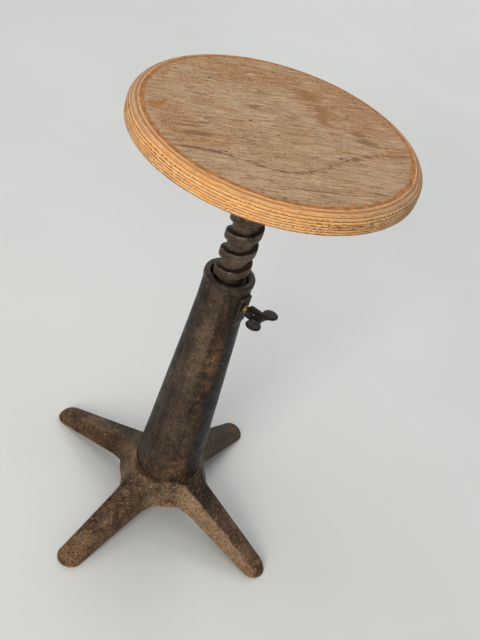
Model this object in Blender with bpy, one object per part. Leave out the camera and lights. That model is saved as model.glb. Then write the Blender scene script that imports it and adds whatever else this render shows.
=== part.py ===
"""Adjustable swivel stool: a round plywood seat on a coarse height screw, which turns in a
tapered iron column on a four-legged cast base and is locked by a wing screw.

Metres, +Z up. The origin is on the floor under the column's axis. The legs run along X and Y,
and the wing screw points along +X.
"""

import math

import bmesh
import bpy
from mathutils import Matrix, Vector

GAP = 0.0003                     # clearance between pieces that touch
RUNNING_GAP = 0.0006             # clearance between pieces that slide or turn

# Seat board
SEAT_RADIUS = 0.1645
SEAT_TOP = 0.6025
SEAT_THICKNESS = 0.0233
SEAT_FLAT_RADIUS = 0.1482        # where the rounded edge begins
SEAT_EDGE_DROP = 0.0135          # height of the rounded edge

# Height screw
THREAD_PITCH = 0.0254
THREAD_CREST_RADIUS = 0.0215
THREAD_ROOT_RADIUS = 0.0160
THREAD_CREST_WIDTH = 0.0112      # flat of the crest
THREAD_FLANK = 0.0015            # height over which the crest falls to the root
THREAD_START_TURN = math.radians(27.0)
THREAD_SEGMENTS = 24
SCREW_BOTTOM = 0.2450
THREAD_BOTTOM = 0.2510
THREAD_TURNS = 11.0
SCREW_NECK_TOP = 0.5560
SPIGOT_RADIUS = 0.0125
SPIGOT_TOP = 0.5745

# Column
COLUMN_TOP = 0.3900
COLUMN_TOP_RADIUS = 0.0305
COLUMN_TAPER_TOP = 0.3520        # the column is parallel above this height
COLUMN_TAPER_BOTTOM = 0.0960
COLUMN_TAPER_BOTTOM_RADIUS = 0.0434
COLUMN_FOOT_RADIUS = 0.0440
COLUMN_SHOULDER = 0.0583
COLUMN_WALL = 0.0055
BUSH_SEAT_RADIUS = 0.0262
COLUMN_SPIGOT_RADIUS = 0.0330
COLUMN_SPIGOT_BORE = 0.0275
COLUMN_SPIGOT_BOTTOM = 0.0325
NUT_RADIUS = 0.0432
NUT_THICKNESS = 0.0120
COLUMN_WASHER_RADIUS = 0.0440
COLUMN_WASHER_THICKNESS = 0.0025
DOWEL_RADIUS = 0.0020
DOWEL_HALF_LENGTH = 0.0060
DOWEL_OFFSET = 0.0385

# Threaded bush in the column's mouth
BUSH_BOTTOM = 0.3345
BUSH_TOP = 0.4008
COLLAR_RADIUS = 0.0315
MOUTH_RADIUS = 0.0236
MOUTH_DEPTH = 0.0110

# Base
LEG_REACH = 0.1938
LEG_ROOT = 0.0300                # the legs' inner ends, hidden in the hub
LEG_TIP_HALF_WIDTH = 0.0180
LEG_ROOT_HALF_WIDTH = 0.0240
LEG_ROOT_REACH = 0.0550          # distance from the axis at which that half-width is measured
LEG_RIDGE_HEIGHT = 0.0832        # the top's height if it ran on to the axis
LEG_SLOPE = 0.392
LEG_UNDER_HEIGHT = 0.0315        # height of the underside at LEG_ROOT_REACH
LEG_UNDER_SLOPE = 0.262
LEG_TOP_SHARE = 0.74             # width of the top as a share of the foot's
HUB_RIM = 0.0700
HUB_RIM_RADIUS = 0.0475
HUB_FOOT = 0.0370
HUB_FOOT_RADIUS = 0.0630
HUB_WEB_BOTTOM = 0.0500
CASTING_WALL = 0.0065

# Wing screw
CLAMP_HEIGHT = 0.3688
CLAMP_STUD_RADIUS = 0.0047
PAD_FACE = 0.0334                # distance of the raised pad's face from the column's axis
PAD_HALF_WIDTH = 0.0115
PAD_BOTTOM = 0.3420
PAD_TOP = 0.3850
WING_HUB_RADIUS = 0.0082
WING_HUB_START = 0.0385
WING_HUB_LENGTH = 0.0205
WING_REACH = 0.0188              # distance of each wing's centre from the hub's axis
WING_RADIUS = 0.0096
WING_NECK_HALF_WIDTH = 0.0058
WING_THICKNESS = 0.0042
WING_TILT = math.radians(-4.0)
WING_PIN_RADIUS = 0.0012
SET_SCREW_AZIMUTHS = (math.radians(100.0), math.radians(170.0))
SET_SCREW_HEIGHT = 0.3700
SET_SCREW_RADIUS = 0.0030

# Seat flange
FLANGE_RADIUS = 0.0620
FLANGE_THICKNESS = 0.0050
FLANGE_HUB_RADIUS = 0.0205
SEAT_SCREW_CIRCLE = 0.0480
SEAT_SCREW_COUNT = 4
SEAT_SCREW_RADIUS = 0.0021
SEAT_SCREW_HEAD_RADIUS = 0.0042
FLANGE_PIN_RADIUS = 0.0025
FLANGE_PIN_HEIGHT = 0.5650

SEAT_BOTTOM = SEAT_TOP - SEAT_THICKNESS
FLANGE_TOP = SEAT_BOTTOM - GAP
FLANGE_BOTTOM = FLANGE_TOP - FLANGE_THICKNESS
ROUND = 40                       # segments of a large turned piece
SMALL = 24                       # segments of a small turned piece


def clear_scene():
    for thing in list(bpy.data.objects):
        bpy.data.objects.remove(thing, do_unlink=True)


def material(name, colour, roughness, metallic):
    made = bpy.data.materials.new(name)
    made.use_nodes = True
    shader = made.node_tree.nodes["Principled BSDF"]
    shader.inputs["Base Color"].default_value = (*colour, 1.0)
    shader.inputs["Roughness"].default_value = roughness
    shader.inputs["Metallic"].default_value = metallic
    return made


def as_object(name, bm, finish, smooth_angle=math.radians(35.0)):
    """Closes off a bmesh as a named object with one material."""
    bmesh.ops.recalc_face_normals(bm, faces=bm.faces)
    mesh = bpy.data.meshes.new(name)
    bm.to_mesh(mesh)
    bm.free()
    mesh.shade_smooth()
    mesh.set_sharp_from_angle(angle=smooth_angle)
    if finish is not None:
        mesh.materials.append(finish)
    made = bpy.data.objects.new(name, mesh)
    bpy.context.scene.collection.objects.link(made)
    return made


def spin_profile(bm, profile, segments, frame=Matrix()):
    """Turns a profile of (radius, height) points about Z. A profile that starts and ends on
    the axis makes a solid, and one that stays off the axis is closed into a ring."""
    rows = []
    for radius, height in profile:
        if radius == 0.0:
            rows.append([bm.verts.new(frame @ Vector((0.0, 0.0, height)))])
            continue
        row = []
        for step in range(segments):
            angle = math.tau * step / segments
            point = Vector((radius * math.cos(angle), radius * math.sin(angle), height))
            row.append(bm.verts.new(frame @ point))
        rows.append(row)
    pairs = list(zip(rows, rows[1:]))
    if len(rows[0]) > 1:
        pairs.append((rows[-1], rows[0]))
    for upper, lower in pairs:
        for step in range(segments):
            after = (step + 1) % segments
            corners = [upper[step % len(upper)], upper[after % len(upper)]]
            corners += [lower[after % len(lower)], lower[step % len(lower)]]
            bm.faces.new(list(dict.fromkeys(corners)))


def turned(name, profile, finish, segments=ROUND, frame=Matrix()):
    bm = bmesh.new()
    spin_profile(bm, profile, segments, frame)
    return as_object(name, bm, finish)


def towards(azimuth, height):
    """A frame at the column's axis whose Z points out level at the azimuth."""
    turn = Matrix.Rotation(azimuth, 4, "Z") @ Matrix.Rotation(math.pi / 2.0, 4, "Y")
    return Matrix.Translation((0.0, 0.0, height)) @ turn


def rod_profile(radius, start, end):
    return [(0.0, end), (radius, end), (radius, start), (0.0, start)]


def as_tool(made):
    made.hide_render = True
    made.display_type = "WIRE"
    return made


def combine(target, tool, operation):
    step = target.modifiers.new(tool.name, "BOOLEAN")
    step.operation = operation
    step.object = as_tool(tool)
    step.solver = "EXACT"


def cut(target, tool):
    combine(target, tool, "DIFFERENCE")


def join(target, tool):
    combine(target, tool, "UNION")


def drill(target, name, radius, start, end, frame=Matrix(), segments=SMALL):
    """Cuts a round hole, twisted so that its facets don't line up with those that it enters."""
    twisted = frame @ Matrix.Rotation(math.pi / segments * 0.9, 4, "Z")
    cut(target, turned(name, rod_profile(radius, start, end), None, segments, twisted))


def threaded(name, core, crest, crest_flat, bottom, turns, low_end, top_end, finish):
    """A right-handed, single-start thread on a core that runs on past both its ends."""
    groove = THREAD_PITCH - crest_flat - 2.0 * THREAD_FLANK
    start = bottom + groove / 2.0
    section = [(core, 0.0)]
    section.append((crest, THREAD_FLANK))
    section.append((crest, THREAD_FLANK + crest_flat))
    section.append((core, 2.0 * THREAD_FLANK + crest_flat))
    steps = round(turns * THREAD_SEGMENTS)
    bm = bmesh.new()

    def point(radius, height, step):
        angle = THREAD_START_TURN + math.tau * step / THREAD_SEGMENTS
        return bm.verts.new((radius * math.cos(angle), radius * math.sin(angle), height))

    rows = []
    for step in range(steps + 1):
        rise = start + THREAD_PITCH * step / THREAD_SEGMENTS
        rows.append([point(radius, rise + height, step) for radius, height in section])
    low_ring = [point(core, low_end, step) for step in range(THREAD_SEGMENTS)]
    top_ring = [point(core, top_end, steps + step) for step in range(THREAD_SEGMENTS)]

    for row, after in zip(rows, rows[1:]):
        for low in range(len(section) - 1):
            bm.faces.new([row[low], after[low], after[low + 1], row[low + 1]])
    high = steps - THREAD_SEGMENTS
    for step in range(high):
        turn_up = step + THREAD_SEGMENTS
        bm.faces.new([rows[step][-1], rows[step + 1][-1], rows[turn_up + 1][0], rows[turn_up][0]])
    last = THREAD_SEGMENTS - 1
    for step in range(last):
        bm.faces.new([low_ring[step], low_ring[step + 1], rows[step + 1][0], rows[step][0]])
    for step in range(1, THREAD_SEGMENTS):
        above = [top_ring[(step + 1) % THREAD_SEGMENTS], top_ring[step]]
        bm.faces.new([rows[high + step][-1], rows[high + step + 1][-1], *above])
    bm.faces.new([low_ring[last], low_ring[0], rows[0][0], rows[0][-1],
                  rows[last + 1][0], rows[last][0]])
    bm.faces.new([rows[high][-1], rows[high + 1][-1], top_ring[1], top_ring[0],
                  rows[steps][-1], rows[steps][0]])
    bm.faces.new(rows[0])
    bm.faces.new(rows[steps])
    bm.faces.new(low_ring)
    bm.faces.new(top_ring)
    return as_object(name, bm, finish)


def leg_top(reach):
    """Height of the leg's upper edges at a distance from the column's axis."""
    return LEG_RIDGE_HEIGHT - LEG_SLOPE * reach


def leg_bottom(reach):
    return max(0.0, LEG_UNDER_HEIGHT - LEG_UNDER_SLOPE * (reach - LEG_ROOT_REACH))


def leg_half_width(reach):
    """Half-width at the foot of the leg's sides: tapered, with a round end."""
    share = (reach - LEG_ROOT_REACH) / (LEG_REACH - LEG_TIP_HALF_WIDTH - LEG_ROOT_REACH)
    straight = LEG_ROOT_HALF_WIDTH + (LEG_TIP_HALF_WIDTH - LEG_ROOT_HALF_WIDTH) * share
    past = reach - (LEG_REACH - LEG_TIP_HALF_WIDTH)
    if past <= 0.0:
        return straight
    return math.sqrt(max(0.0, LEG_TIP_HALF_WIDTH ** 2 - past ** 2))


def leg_section(reach):
    """Outline across a leg as (side, height): crowned top, drafted sides, flat foot."""
    low = leg_bottom(reach)
    high = leg_top(reach)
    foot = leg_half_width(reach)
    shoulder = foot * LEG_TOP_SHARE
    half = [(0.0, high + 0.0030), (shoulder * 0.55, high + 0.0023)]
    half += [(shoulder * 0.88, high + 0.0002), (shoulder + 0.001 * foot / 0.018, high - 0.0035)]
    half += [(foot, low + 0.0025), (foot * 0.94, low)]
    other = [(-side, height) for side, height in reversed(half[1:])]
    return half + other


def channel_section(reach):
    """Outline of the hollow under a leg, open downwards."""
    side = leg_half_width(reach) - CASTING_WALL
    top_side = leg_half_width(reach) * LEG_TOP_SHARE - CASTING_WALL * 0.8
    high = leg_top(reach) - CASTING_WALL
    low = -0.01
    return [(0.0, high + 0.002), (top_side, high), (side, low), (-side, low), (-top_side, high)]


def lofted(name, stations, section, finish):
    """Four like bars, one along each leg's direction, lofted through cross-sections."""
    bm = bmesh.new()
    for quarter in range(4):
        turn = Matrix.Rotation(quarter * math.pi / 2.0, 4, "Z")
        rings = []
        for reach in stations:
            outline = section(reach)
            rings.append([bm.verts.new(turn @ Vector((reach, side, up))) for side, up in outline])
        for ring, after in zip(rings, rings[1:]):
            count = len(ring)
            for index in range(count):
                nxt = (index + 1) % count
                bm.faces.new([ring[index], ring[nxt], after[nxt], after[index]])
        bm.faces.new(rings[0])
        bm.faces.new(rings[-1])
    return as_object(name, bm, finish)


def leg_stations():
    """Distances of the leg's cross-sections: even along it, closer round its end."""
    straight = LEG_REACH - LEG_TIP_HALF_WIDTH
    stations = [LEG_ROOT + (straight - LEG_ROOT) * step / 7.0 for step in range(8)]
    for step in range(1, 6):
        angle = math.pi / 2.0 * step / 5.5
        stations.append(straight + LEG_TIP_HALF_WIDTH * math.sin(angle))
    stations.append(LEG_REACH - 0.00002)
    return stations


def make_base(iron):
    hub = [(0.0, HUB_RIM), (HUB_RIM_RADIUS - 0.0012, HUB_RIM), (HUB_RIM_RADIUS, HUB_RIM - 0.0012)]
    hub += [(0.0508, 0.0600), (0.0562, 0.0480), (HUB_FOOT_RADIUS, HUB_FOOT + 0.0020)]
    hub += [(HUB_FOOT_RADIUS - 0.0015, HUB_FOOT)]
    hub += [(0.0, HUB_FOOT)]
    base = turned("base", hub, iron)
    join(base, lofted("leg_bars", leg_stations(), leg_section, None))
    recess = COLUMN_FOOT_RADIUS + 0.0004
    socket = [(0.0, 0.10), (recess, 0.10), (recess, COLUMN_SHOULDER - GAP)]
    socket += [(COLUMN_SPIGOT_RADIUS + GAP, COLUMN_SHOULDER - GAP)]
    socket += [(COLUMN_SPIGOT_RADIUS + GAP, 0.01), (0.0, 0.01)]
    cut(base, turned("hub_socket", socket, None))
    hollow = [(0.0, HUB_WEB_BOTTOM), (0.0470, HUB_WEB_BOTTOM), (0.0500, HUB_WEB_BOTTOM - 0.004)]
    hollow += [(0.0560, HUB_FOOT - 0.001), (0.0560, 0.0), (0.0, 0.0)]
    cut(base, turned("hub_hollow", hollow, None))
    stations = [0.036, 0.070, 0.105, 0.140, 0.163]
    cut(base, lofted("leg_hollows", stations, channel_section, None))
    drill(base, "dowel_socket", DOWEL_RADIUS + GAP, -0.02, 0.02, dowel_frame(), 12)
    return base


def dowel_frame():
    return Matrix.Translation((-DOWEL_OFFSET, 0.0, COLUMN_SHOULDER))


def column_radius(height):
    if height >= COLUMN_TAPER_TOP:
        return COLUMN_TOP_RADIUS
    share = (COLUMN_TAPER_TOP - height) / (COLUMN_TAPER_TOP - COLUMN_TAPER_BOTTOM)
    return COLUMN_TOP_RADIUS + (COLUMN_TAPER_BOTTOM_RADIUS - COLUMN_TOP_RADIUS) * share


def clamp_pad():
    """Raised pad that the wing screw goes through, sloping away at its foot."""
    inner = 0.015
    outline = [(inner, PAD_TOP + 0.002), (PAD_FACE - 0.0016, PAD_TOP), (PAD_FACE, PAD_TOP - 0.0016)]
    outline += [(PAD_FACE, PAD_BOTTOM + 0.010), (PAD_FACE - 0.0012, PAD_BOTTOM + 0.004)]
    outline += [(PAD_FACE - 0.0045, PAD_BOTTOM - 0.003), (inner, PAD_BOTTOM - 0.003)]
    widths = [(-PAD_HALF_WIDTH, 0.0022), (-PAD_HALF_WIDTH + 0.0018, 0.0)]
    widths += [(PAD_HALF_WIDTH - 0.0018, 0.0), (PAD_HALF_WIDTH, 0.0022)]
    bm = bmesh.new()
    slices = []
    for side, inset in widths:
        row = [bm.verts.new((out - inset * (out > inner), side, up)) for out, up in outline]
        slices.append(row)
    count = len(outline)
    for row, after in zip(slices, slices[1:]):
        for index in range(count):
            nxt = (index + 1) % count
            bm.faces.new([row[index], row[nxt], after[nxt], after[index]])
    bm.faces.new(slices[0])
    bm.faces.new(slices[-1])
    return as_object("clamp_pad", bm, None)


def set_screw_frames():
    return [towards(azimuth, SET_SCREW_HEIGHT) for azimuth in SET_SCREW_AZIMUTHS]


def make_column(iron):
    outer = [(0.0, COLUMN_TOP), (COLUMN_TOP_RADIUS - 0.0006, COLUMN_TOP)]
    outer += [(COLUMN_TOP_RADIUS, COLUMN_TOP - 0.0006)]
    outer += [(column_radius(height), height) for height in (COLUMN_TAPER_TOP, 0.24)]
    outer += [(column_radius(COLUMN_TAPER_BOTTOM), COLUMN_TAPER_BOTTOM)]
    outer += [(COLUMN_FOOT_RADIUS, 0.0720), (COLUMN_FOOT_RADIUS, COLUMN_SHOULDER)]
    outer += [(COLUMN_SPIGOT_RADIUS, COLUMN_SHOULDER)]
    outer += [(COLUMN_SPIGOT_RADIUS, COLUMN_SPIGOT_BOTTOM + 0.001)]
    outer += [(COLUMN_SPIGOT_RADIUS - 0.001, COLUMN_SPIGOT_BOTTOM), (0.0, COLUMN_SPIGOT_BOTTOM)]
    column = turned("column", outer, iron)
    join(column, clamp_pad())
    bore = [(0.0, 0.41), (BUSH_SEAT_RADIUS, 0.41), (BUSH_SEAT_RADIUS, 0.325)]
    bore += [(column_radius(0.09) - COLUMN_WALL, 0.09), (COLUMN_SPIGOT_BORE, 0.066)]
    bore += [(COLUMN_SPIGOT_BORE, 0.02), (0.0, 0.02)]
    cut(column, turned("column_bore", bore, None))
    drill(column, "clamp_hole", CLAMP_STUD_RADIUS + RUNNING_GAP, 0.015, 0.045,
          towards(0.0, CLAMP_HEIGHT))
    for number, frame in enumerate(set_screw_frames(), 1):
        drill(column, f"set_hole_{number}", SET_SCREW_RADIUS + GAP, 0.020, 0.040, frame, 12)
    drill(column, "dowel_hole", DOWEL_RADIUS + GAP, -0.02, DOWEL_HALF_LENGTH + 0.0005,
          dowel_frame(), 12)
    return column


def make_column_dowel(steel):
    profile = rod_profile(DOWEL_RADIUS, -DOWEL_HALF_LENGTH, DOWEL_HALF_LENGTH)
    return turned("column_dowel", profile, steel, 12, dowel_frame())


def make_column_washer(steel):
    top = HUB_WEB_BOTTOM - GAP
    inner = COLUMN_SPIGOT_RADIUS + GAP
    outer = COLUMN_WASHER_RADIUS
    bottom = top - COLUMN_WASHER_THICKNESS
    profile = [(inner, top), (outer, top), (outer, bottom), (inner, bottom)]
    washer = turned("column_washer", profile, steel, SMALL)
    drill(washer, "washer_relief", DOWEL_RADIUS + 0.0004, -0.02, 0.02, dowel_frame(), 12)
    return washer


def make_column_nut(iron):
    """Round nut on the column's spigot, with four slots for a hook spanner."""
    top = HUB_WEB_BOTTOM - GAP - COLUMN_WASHER_THICKNESS - GAP
    bottom = top - NUT_THICKNESS
    inner = COLUMN_SPIGOT_RADIUS + GAP
    outer = NUT_RADIUS
    profile = [(inner, top), (outer - 0.001, top), (outer, top - 0.001)]
    profile += [(outer, bottom + 0.001), (outer - 0.001, bottom), (inner, bottom)]
    nut = turned("column_nut", profile, iron)
    bm = bmesh.new()
    for quarter in range(4):
        turn = Matrix.Rotation(math.pi / 4.0 + quarter * math.pi / 2.0, 4, "Z")
        size = Matrix.Diagonal((0.006, 0.007, 0.03, 1.0))
        place = Matrix.Translation((outer + 0.0005, 0.0, bottom))
        bmesh.ops.create_cube(bm, size=1.0, matrix=turn @ place @ size)
    cut(nut, as_object("spanner_slots", bm, None))
    return nut


def make_thread_bush(iron):
    """Threaded bush pressed into the column; its rim is the collar at the column's top."""
    outer = [(0.0, BUSH_TOP), (COLLAR_RADIUS - 0.0030, BUSH_TOP)]
    outer += [(COLLAR_RADIUS - 0.0009, BUSH_TOP - 0.0009), (COLLAR_RADIUS, BUSH_TOP - 0.0030)]
    outer += [(COLLAR_RADIUS, COLUMN_TOP + 0.0020), (COLLAR_RADIUS - 0.0012, COLUMN_TOP + GAP)]
    outer += [(BUSH_SEAT_RADIUS - GAP, COLUMN_TOP + GAP), (BUSH_SEAT_RADIUS - GAP, BUSH_BOTTOM)]
    outer += [(0.0, BUSH_BOTTOM)]
    bush = turned("thread_bush", outer, iron)
    mouth = [(0.0, 0.42), (MOUTH_RADIUS + 0.0030, 0.42), (MOUTH_RADIUS + 0.0012, BUSH_TOP + 0.0002)]
    mouth += [(MOUTH_RADIUS, BUSH_TOP - 0.0020), (MOUTH_RADIUS, BUSH_TOP - MOUTH_DEPTH)]
    mouth += [(0.0, BUSH_TOP - MOUTH_DEPTH)]
    cut(bush, turned("bush_mouth", mouth, None))
    below = THREAD_BOTTOM + 2.0 * THREAD_PITCH - RUNNING_GAP
    tap = threaded("tap", THREAD_ROOT_RADIUS + RUNNING_GAP, THREAD_CREST_RADIUS + RUNNING_GAP,
                   THREAD_CREST_WIDTH + 2.0 * RUNNING_GAP, below, 4.5, 0.29, 0.45, None)
    cut(bush, tap)
    drill(bush, "slug_hole", CLAMP_STUD_RADIUS + RUNNING_GAP, 0.010, 0.045,
          towards(0.0, CLAMP_HEIGHT))
    for number, frame in enumerate(set_screw_frames(), 1):
        drill(bush, f"set_dimple_{number}", SET_SCREW_RADIUS + GAP, 0.0243, 0.030, frame, 12)
    return bush


def make_set_screws(steel):
    """Two slotted grub screws that hold the bush in the column."""
    radius = SET_SCREW_RADIUS
    profile = [(0.0, 0.0300), (radius, 0.0300), (radius, 0.0252), (0.0012, 0.0246), (0.0, 0.0246)]
    for number, frame in enumerate(set_screw_frames(), 1):
        screw = turned(f"bush_set_screw_{number}", profile, steel, 16, frame)
        slot = bmesh.new()
        size = Matrix.Diagonal((0.0010, 0.0090, 0.0030, 1.0))
        place = frame @ Matrix.Translation((0.0, 0.0, 0.0300)) @ size
        bmesh.ops.create_cube(slot, size=1.0, matrix=place)
        cut(screw, as_object(f"set_screw_slot_{number}", slot, None))


def make_height_screw(steel):
    screw = threaded("height_screw", THREAD_ROOT_RADIUS, THREAD_CREST_RADIUS,
                     THREAD_CREST_WIDTH, THREAD_BOTTOM, THREAD_TURNS,
                     SCREW_BOTTOM, SCREW_NECK_TOP, steel)
    spigot = rod_profile(SPIGOT_RADIUS, SCREW_NECK_TOP - 0.010, SPIGOT_TOP)
    join(screw, turned("screw_spigot", spigot, None, ROUND))
    drill(screw, "stop_hole", 0.0043, 0.20, SCREW_BOTTOM + 0.020)
    drill(screw, "spigot_pin_hole", FLANGE_PIN_RADIUS + GAP, -0.03, 0.03, flange_pin_frame(), 12)
    return screw


def make_stop_washer(steel):
    """Loose washer at the screw's foot, which meets the bush when the seat is fully raised."""
    top = SCREW_BOTTOM - 0.0006
    bottom = top - 0.0035
    profile = [(0.0048, top), (0.0232, top), (0.0238, top - 0.0006), (0.0238, bottom)]
    profile += [(0.0048, bottom)]
    return turned("stop_washer", profile, steel, SMALL)


def make_stop_lock_washer(steel):
    top = SCREW_BOTTOM - 0.0047
    profile = [(0.0046, top), (0.0085, top), (0.0085, top - 0.0016), (0.0046, top - 0.0016)]
    return turned("stop_lock_washer", profile, steel, SMALL)


def make_stop_screw(steel):
    """Hexagon screw that holds the stop washer under the height screw."""
    head_top = SCREW_BOTTOM - 0.0066
    bm = bmesh.new()
    head = [(0.0, head_top), (0.0072, head_top), (0.0075, head_top - 0.0005)]
    head += [(0.0075, head_top - 0.0050), (0.0066, head_top - 0.0058), (0.0, head_top - 0.0058)]
    spin_profile(bm, head, 6)
    screw = as_object("stop_screw", bm, steel)
    shank = rod_profile(0.0040, head_top - 0.002, SCREW_BOTTOM + 0.016)
    join(screw, turned("stop_shank", shank, None, SMALL))
    return screw


def flange_pin_frame():
    return towards(math.pi / 2.0, FLANGE_PIN_HEIGHT)


def seat_screw_places():
    places = []
    for number in range(SEAT_SCREW_COUNT):
        angle = math.radians(45.0) + math.tau * number / SEAT_SCREW_COUNT
        offset = (SEAT_SCREW_CIRCLE * math.cos(angle), SEAT_SCREW_CIRCLE * math.sin(angle), 0.0)
        places.append(Matrix.Translation(offset))
    return places


def wood_screw(clearance, length, head_depth=0.0):
    """Profile of a countersunk wood screw, head down in the flange's underside. A hole for it
    is the same with some clearance, and its head runs on downwards."""
    low = FLANGE_BOTTOM
    head = SEAT_SCREW_HEAD_RADIUS + clearance
    shank = SEAT_SCREW_RADIUS + clearance
    top = FLANGE_TOP + length
    profile = [(0.0, top), (shank * 0.5, top), (shank, top - 0.004), (shank, low + 0.0026)]
    profile += [(head, low + 0.0003 - clearance), (head, low - head_depth), (0.0, low - head_depth)]
    return profile


def make_seat_flange(iron):
    """Cast flange under the seat: a round plate on a hub, stiffened by four ribs."""
    hub_low = SCREW_NECK_TOP + GAP
    fillet = FLANGE_BOTTOM - 0.0045
    profile = [(0.0, FLANGE_TOP), (FLANGE_RADIUS - 0.001, FLANGE_TOP)]
    profile += [(FLANGE_RADIUS, FLANGE_TOP - 0.001), (FLANGE_RADIUS, FLANGE_BOTTOM + 0.001)]
    profile += [(FLANGE_RADIUS - 0.001, FLANGE_BOTTOM), (FLANGE_HUB_RADIUS + 0.0045, FLANGE_BOTTOM)]
    profile += [(FLANGE_HUB_RADIUS + 0.0012, fillet + 0.0030), (FLANGE_HUB_RADIUS, fillet)]
    profile += [(FLANGE_HUB_RADIUS, hub_low + 0.001), (FLANGE_HUB_RADIUS - 0.001, hub_low)]
    profile += [(0.0, hub_low)]
    flange = turned("seat_flange", profile, iron)
    bm = bmesh.new()
    for quarter in range(4):
        turn = Matrix.Rotation(quarter * math.pi / 2.0, 4, "Z")
        ridge = [(0.016, 0.5770), (0.057, 0.5770), (0.057, FLANGE_BOTTOM - 0.0015)]
        ridge += [(0.0195, hub_low + 0.0040), (0.016, hub_low + 0.0040)]
        sides = []
        for side in (-0.0024, 0.0024):
            sides.append([bm.verts.new(turn @ Vector((out, side, up))) for out, up in ridge])
        count = len(ridge)
        for index in range(count):
            nxt = (index + 1) % count
            bm.faces.new([sides[0][index], sides[0][nxt], sides[1][nxt], sides[1][index]])
        bm.faces.new(sides[0])
        bm.faces.new(sides[1])
    join(flange, as_object("flange_ribs", bm, None))
    drill(flange, "flange_bore", SPIGOT_RADIUS + GAP, 0.50, 0.62, segments=ROUND)
    drill(flange, "flange_pin_hole", FLANGE_PIN_RADIUS + GAP, -0.04, 0.04, flange_pin_frame(), 12)
    for number, place in enumerate(seat_screw_places(), 1):
        hole = wood_screw(0.0004, 0.02, 0.02)
        cut(flange, turned(f"flange_hole_{number}", hole, None, 16, place))
    return flange


def make_flange_pin(steel):
    half = FLANGE_HUB_RADIUS + 0.0012
    radius = FLANGE_PIN_RADIUS
    profile = [(0.0, half), (radius - 0.0007, half), (radius, half - 0.0007)]
    profile += [(radius, -half + 0.0007), (radius - 0.0007, -half), (0.0, -half)]
    return turned("flange_pin", profile, steel, 12, flange_pin_frame())


def make_seat_screws(steel):
    for number, place in enumerate(seat_screw_places(), 1):
        turned(f"seat_screw_{number}", wood_screw(0.0, 0.0165), steel, 16, place)


def make_seat_board(wood):
    """Round plywood board with a quarter-round upper edge and an eased lower edge."""
    profile = [(0.0, SEAT_TOP)]
    overhang = SEAT_RADIUS - SEAT_FLAT_RADIUS
    for step in range(7):
        angle = math.pi / 2.0 * step / 6.0
        radius = SEAT_FLAT_RADIUS + overhang * math.sin(angle)
        profile.append((radius, SEAT_TOP - SEAT_EDGE_DROP * (1.0 - math.cos(angle))))
    profile += [(SEAT_RADIUS, SEAT_BOTTOM + 0.0030), (SEAT_RADIUS - 0.0009, SEAT_BOTTOM + 0.0009)]
    profile += [(SEAT_RADIUS - 0.0030, SEAT_BOTTOM), (0.0, SEAT_BOTTOM)]
    board = turned("seat_board", profile, wood, 64)
    for number, place in enumerate(seat_screw_places(), 1):
        hole = wood_screw(0.0003, 0.0172, 0.02)
        cut(board, turned(f"board_hole_{number}", hole, None, 12, place))
    return board


def make_clamp_slug(brass):
    """Soft slug that the wing screw presses on the height screw."""
    radius = CLAMP_STUD_RADIUS - 0.0001
    start = THREAD_CREST_RADIUS + GAP
    profile = [(0.0, 0.0268), (radius - 0.0005, 0.0268), (radius, 0.0263)]
    profile += [(radius, start + 0.0005), (radius - 0.0005, start), (0.0, start)]
    return turned("clamp_slug", profile, brass, SMALL, towards(0.0, CLAMP_HEIGHT))


def make_clamp_stud(brass):
    end = WING_HUB_START + WING_HUB_LENGTH - 0.0085
    radius = CLAMP_STUD_RADIUS
    profile = [(0.0, end), (radius - 0.0006, end), (radius, end - 0.0006)]
    profile += [(radius, 0.0279), (radius - 0.0008, 0.0271), (0.0, 0.0271)]
    stud = turned("clamp_stud", profile, brass, SMALL, towards(0.0, CLAMP_HEIGHT))
    drill(stud, "stud_pin_hole", WING_PIN_RADIUS + GAP, -0.012, 0.012, wing_pin_frame(), 12)
    return stud


def wing_pin_frame():
    """Across the wing screw's hub, at right angles to the wings."""
    place = Matrix.Translation((WING_HUB_START + 0.0050, 0.0, CLAMP_HEIGHT))
    return place @ Matrix.Rotation(WING_TILT, 4, "X")


def wing_outline(inset):
    """Round ear on a neck, as (along the hub, out from it) points."""
    radius = WING_RADIUS - inset
    neck = WING_NECK_HALF_WIDTH - inset
    points = [(-neck, 0.0032), (-neck, 0.0100)]
    for step in range(15):
        angle = math.radians(-40.0 + 260.0 * step / 14)
        points.append((-radius * math.cos(angle), WING_REACH + radius * math.sin(angle)))
    return points + [(neck, 0.0100), (neck, 0.0032)]


def wing_plate(name, side):
    """One wing: a round ear with a rounded rim, in the plane of the hub's axis."""
    bm = bmesh.new()
    middle = WING_HUB_START + WING_HUB_LENGTH - WING_NECK_HALF_WIDTH
    turn = Matrix.Rotation(WING_TILT, 4, "X") @ Matrix.Diagonal((1.0, side, 1.0, 1.0))
    flare = (WING_HUB_START + WING_HUB_LENGTH + 0.0006 - middle) / WING_REACH
    rings = []
    for inset, up in ((0.0016, 0.50), (0.0004, 0.34), (0.0004, -0.34), (0.0016, -0.50)):
        ring = []
        for along, out in wing_outline(inset):
            point = Vector((along + flare * out, out, up * WING_THICKNESS))
            ring.append(bm.verts.new(Vector((middle, 0.0, CLAMP_HEIGHT)) + turn @ point))
        rings.append(ring)
    for ring, after in zip(rings, rings[1:]):
        for index, corner in enumerate(ring):
            nxt = (index + 1) % len(ring)
            bm.faces.new([corner, ring[nxt], after[nxt], after[index]])
    bm.faces.new(rings[0])
    bm.faces.new(rings[-1])
    return as_object(name, bm, None)


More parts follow.
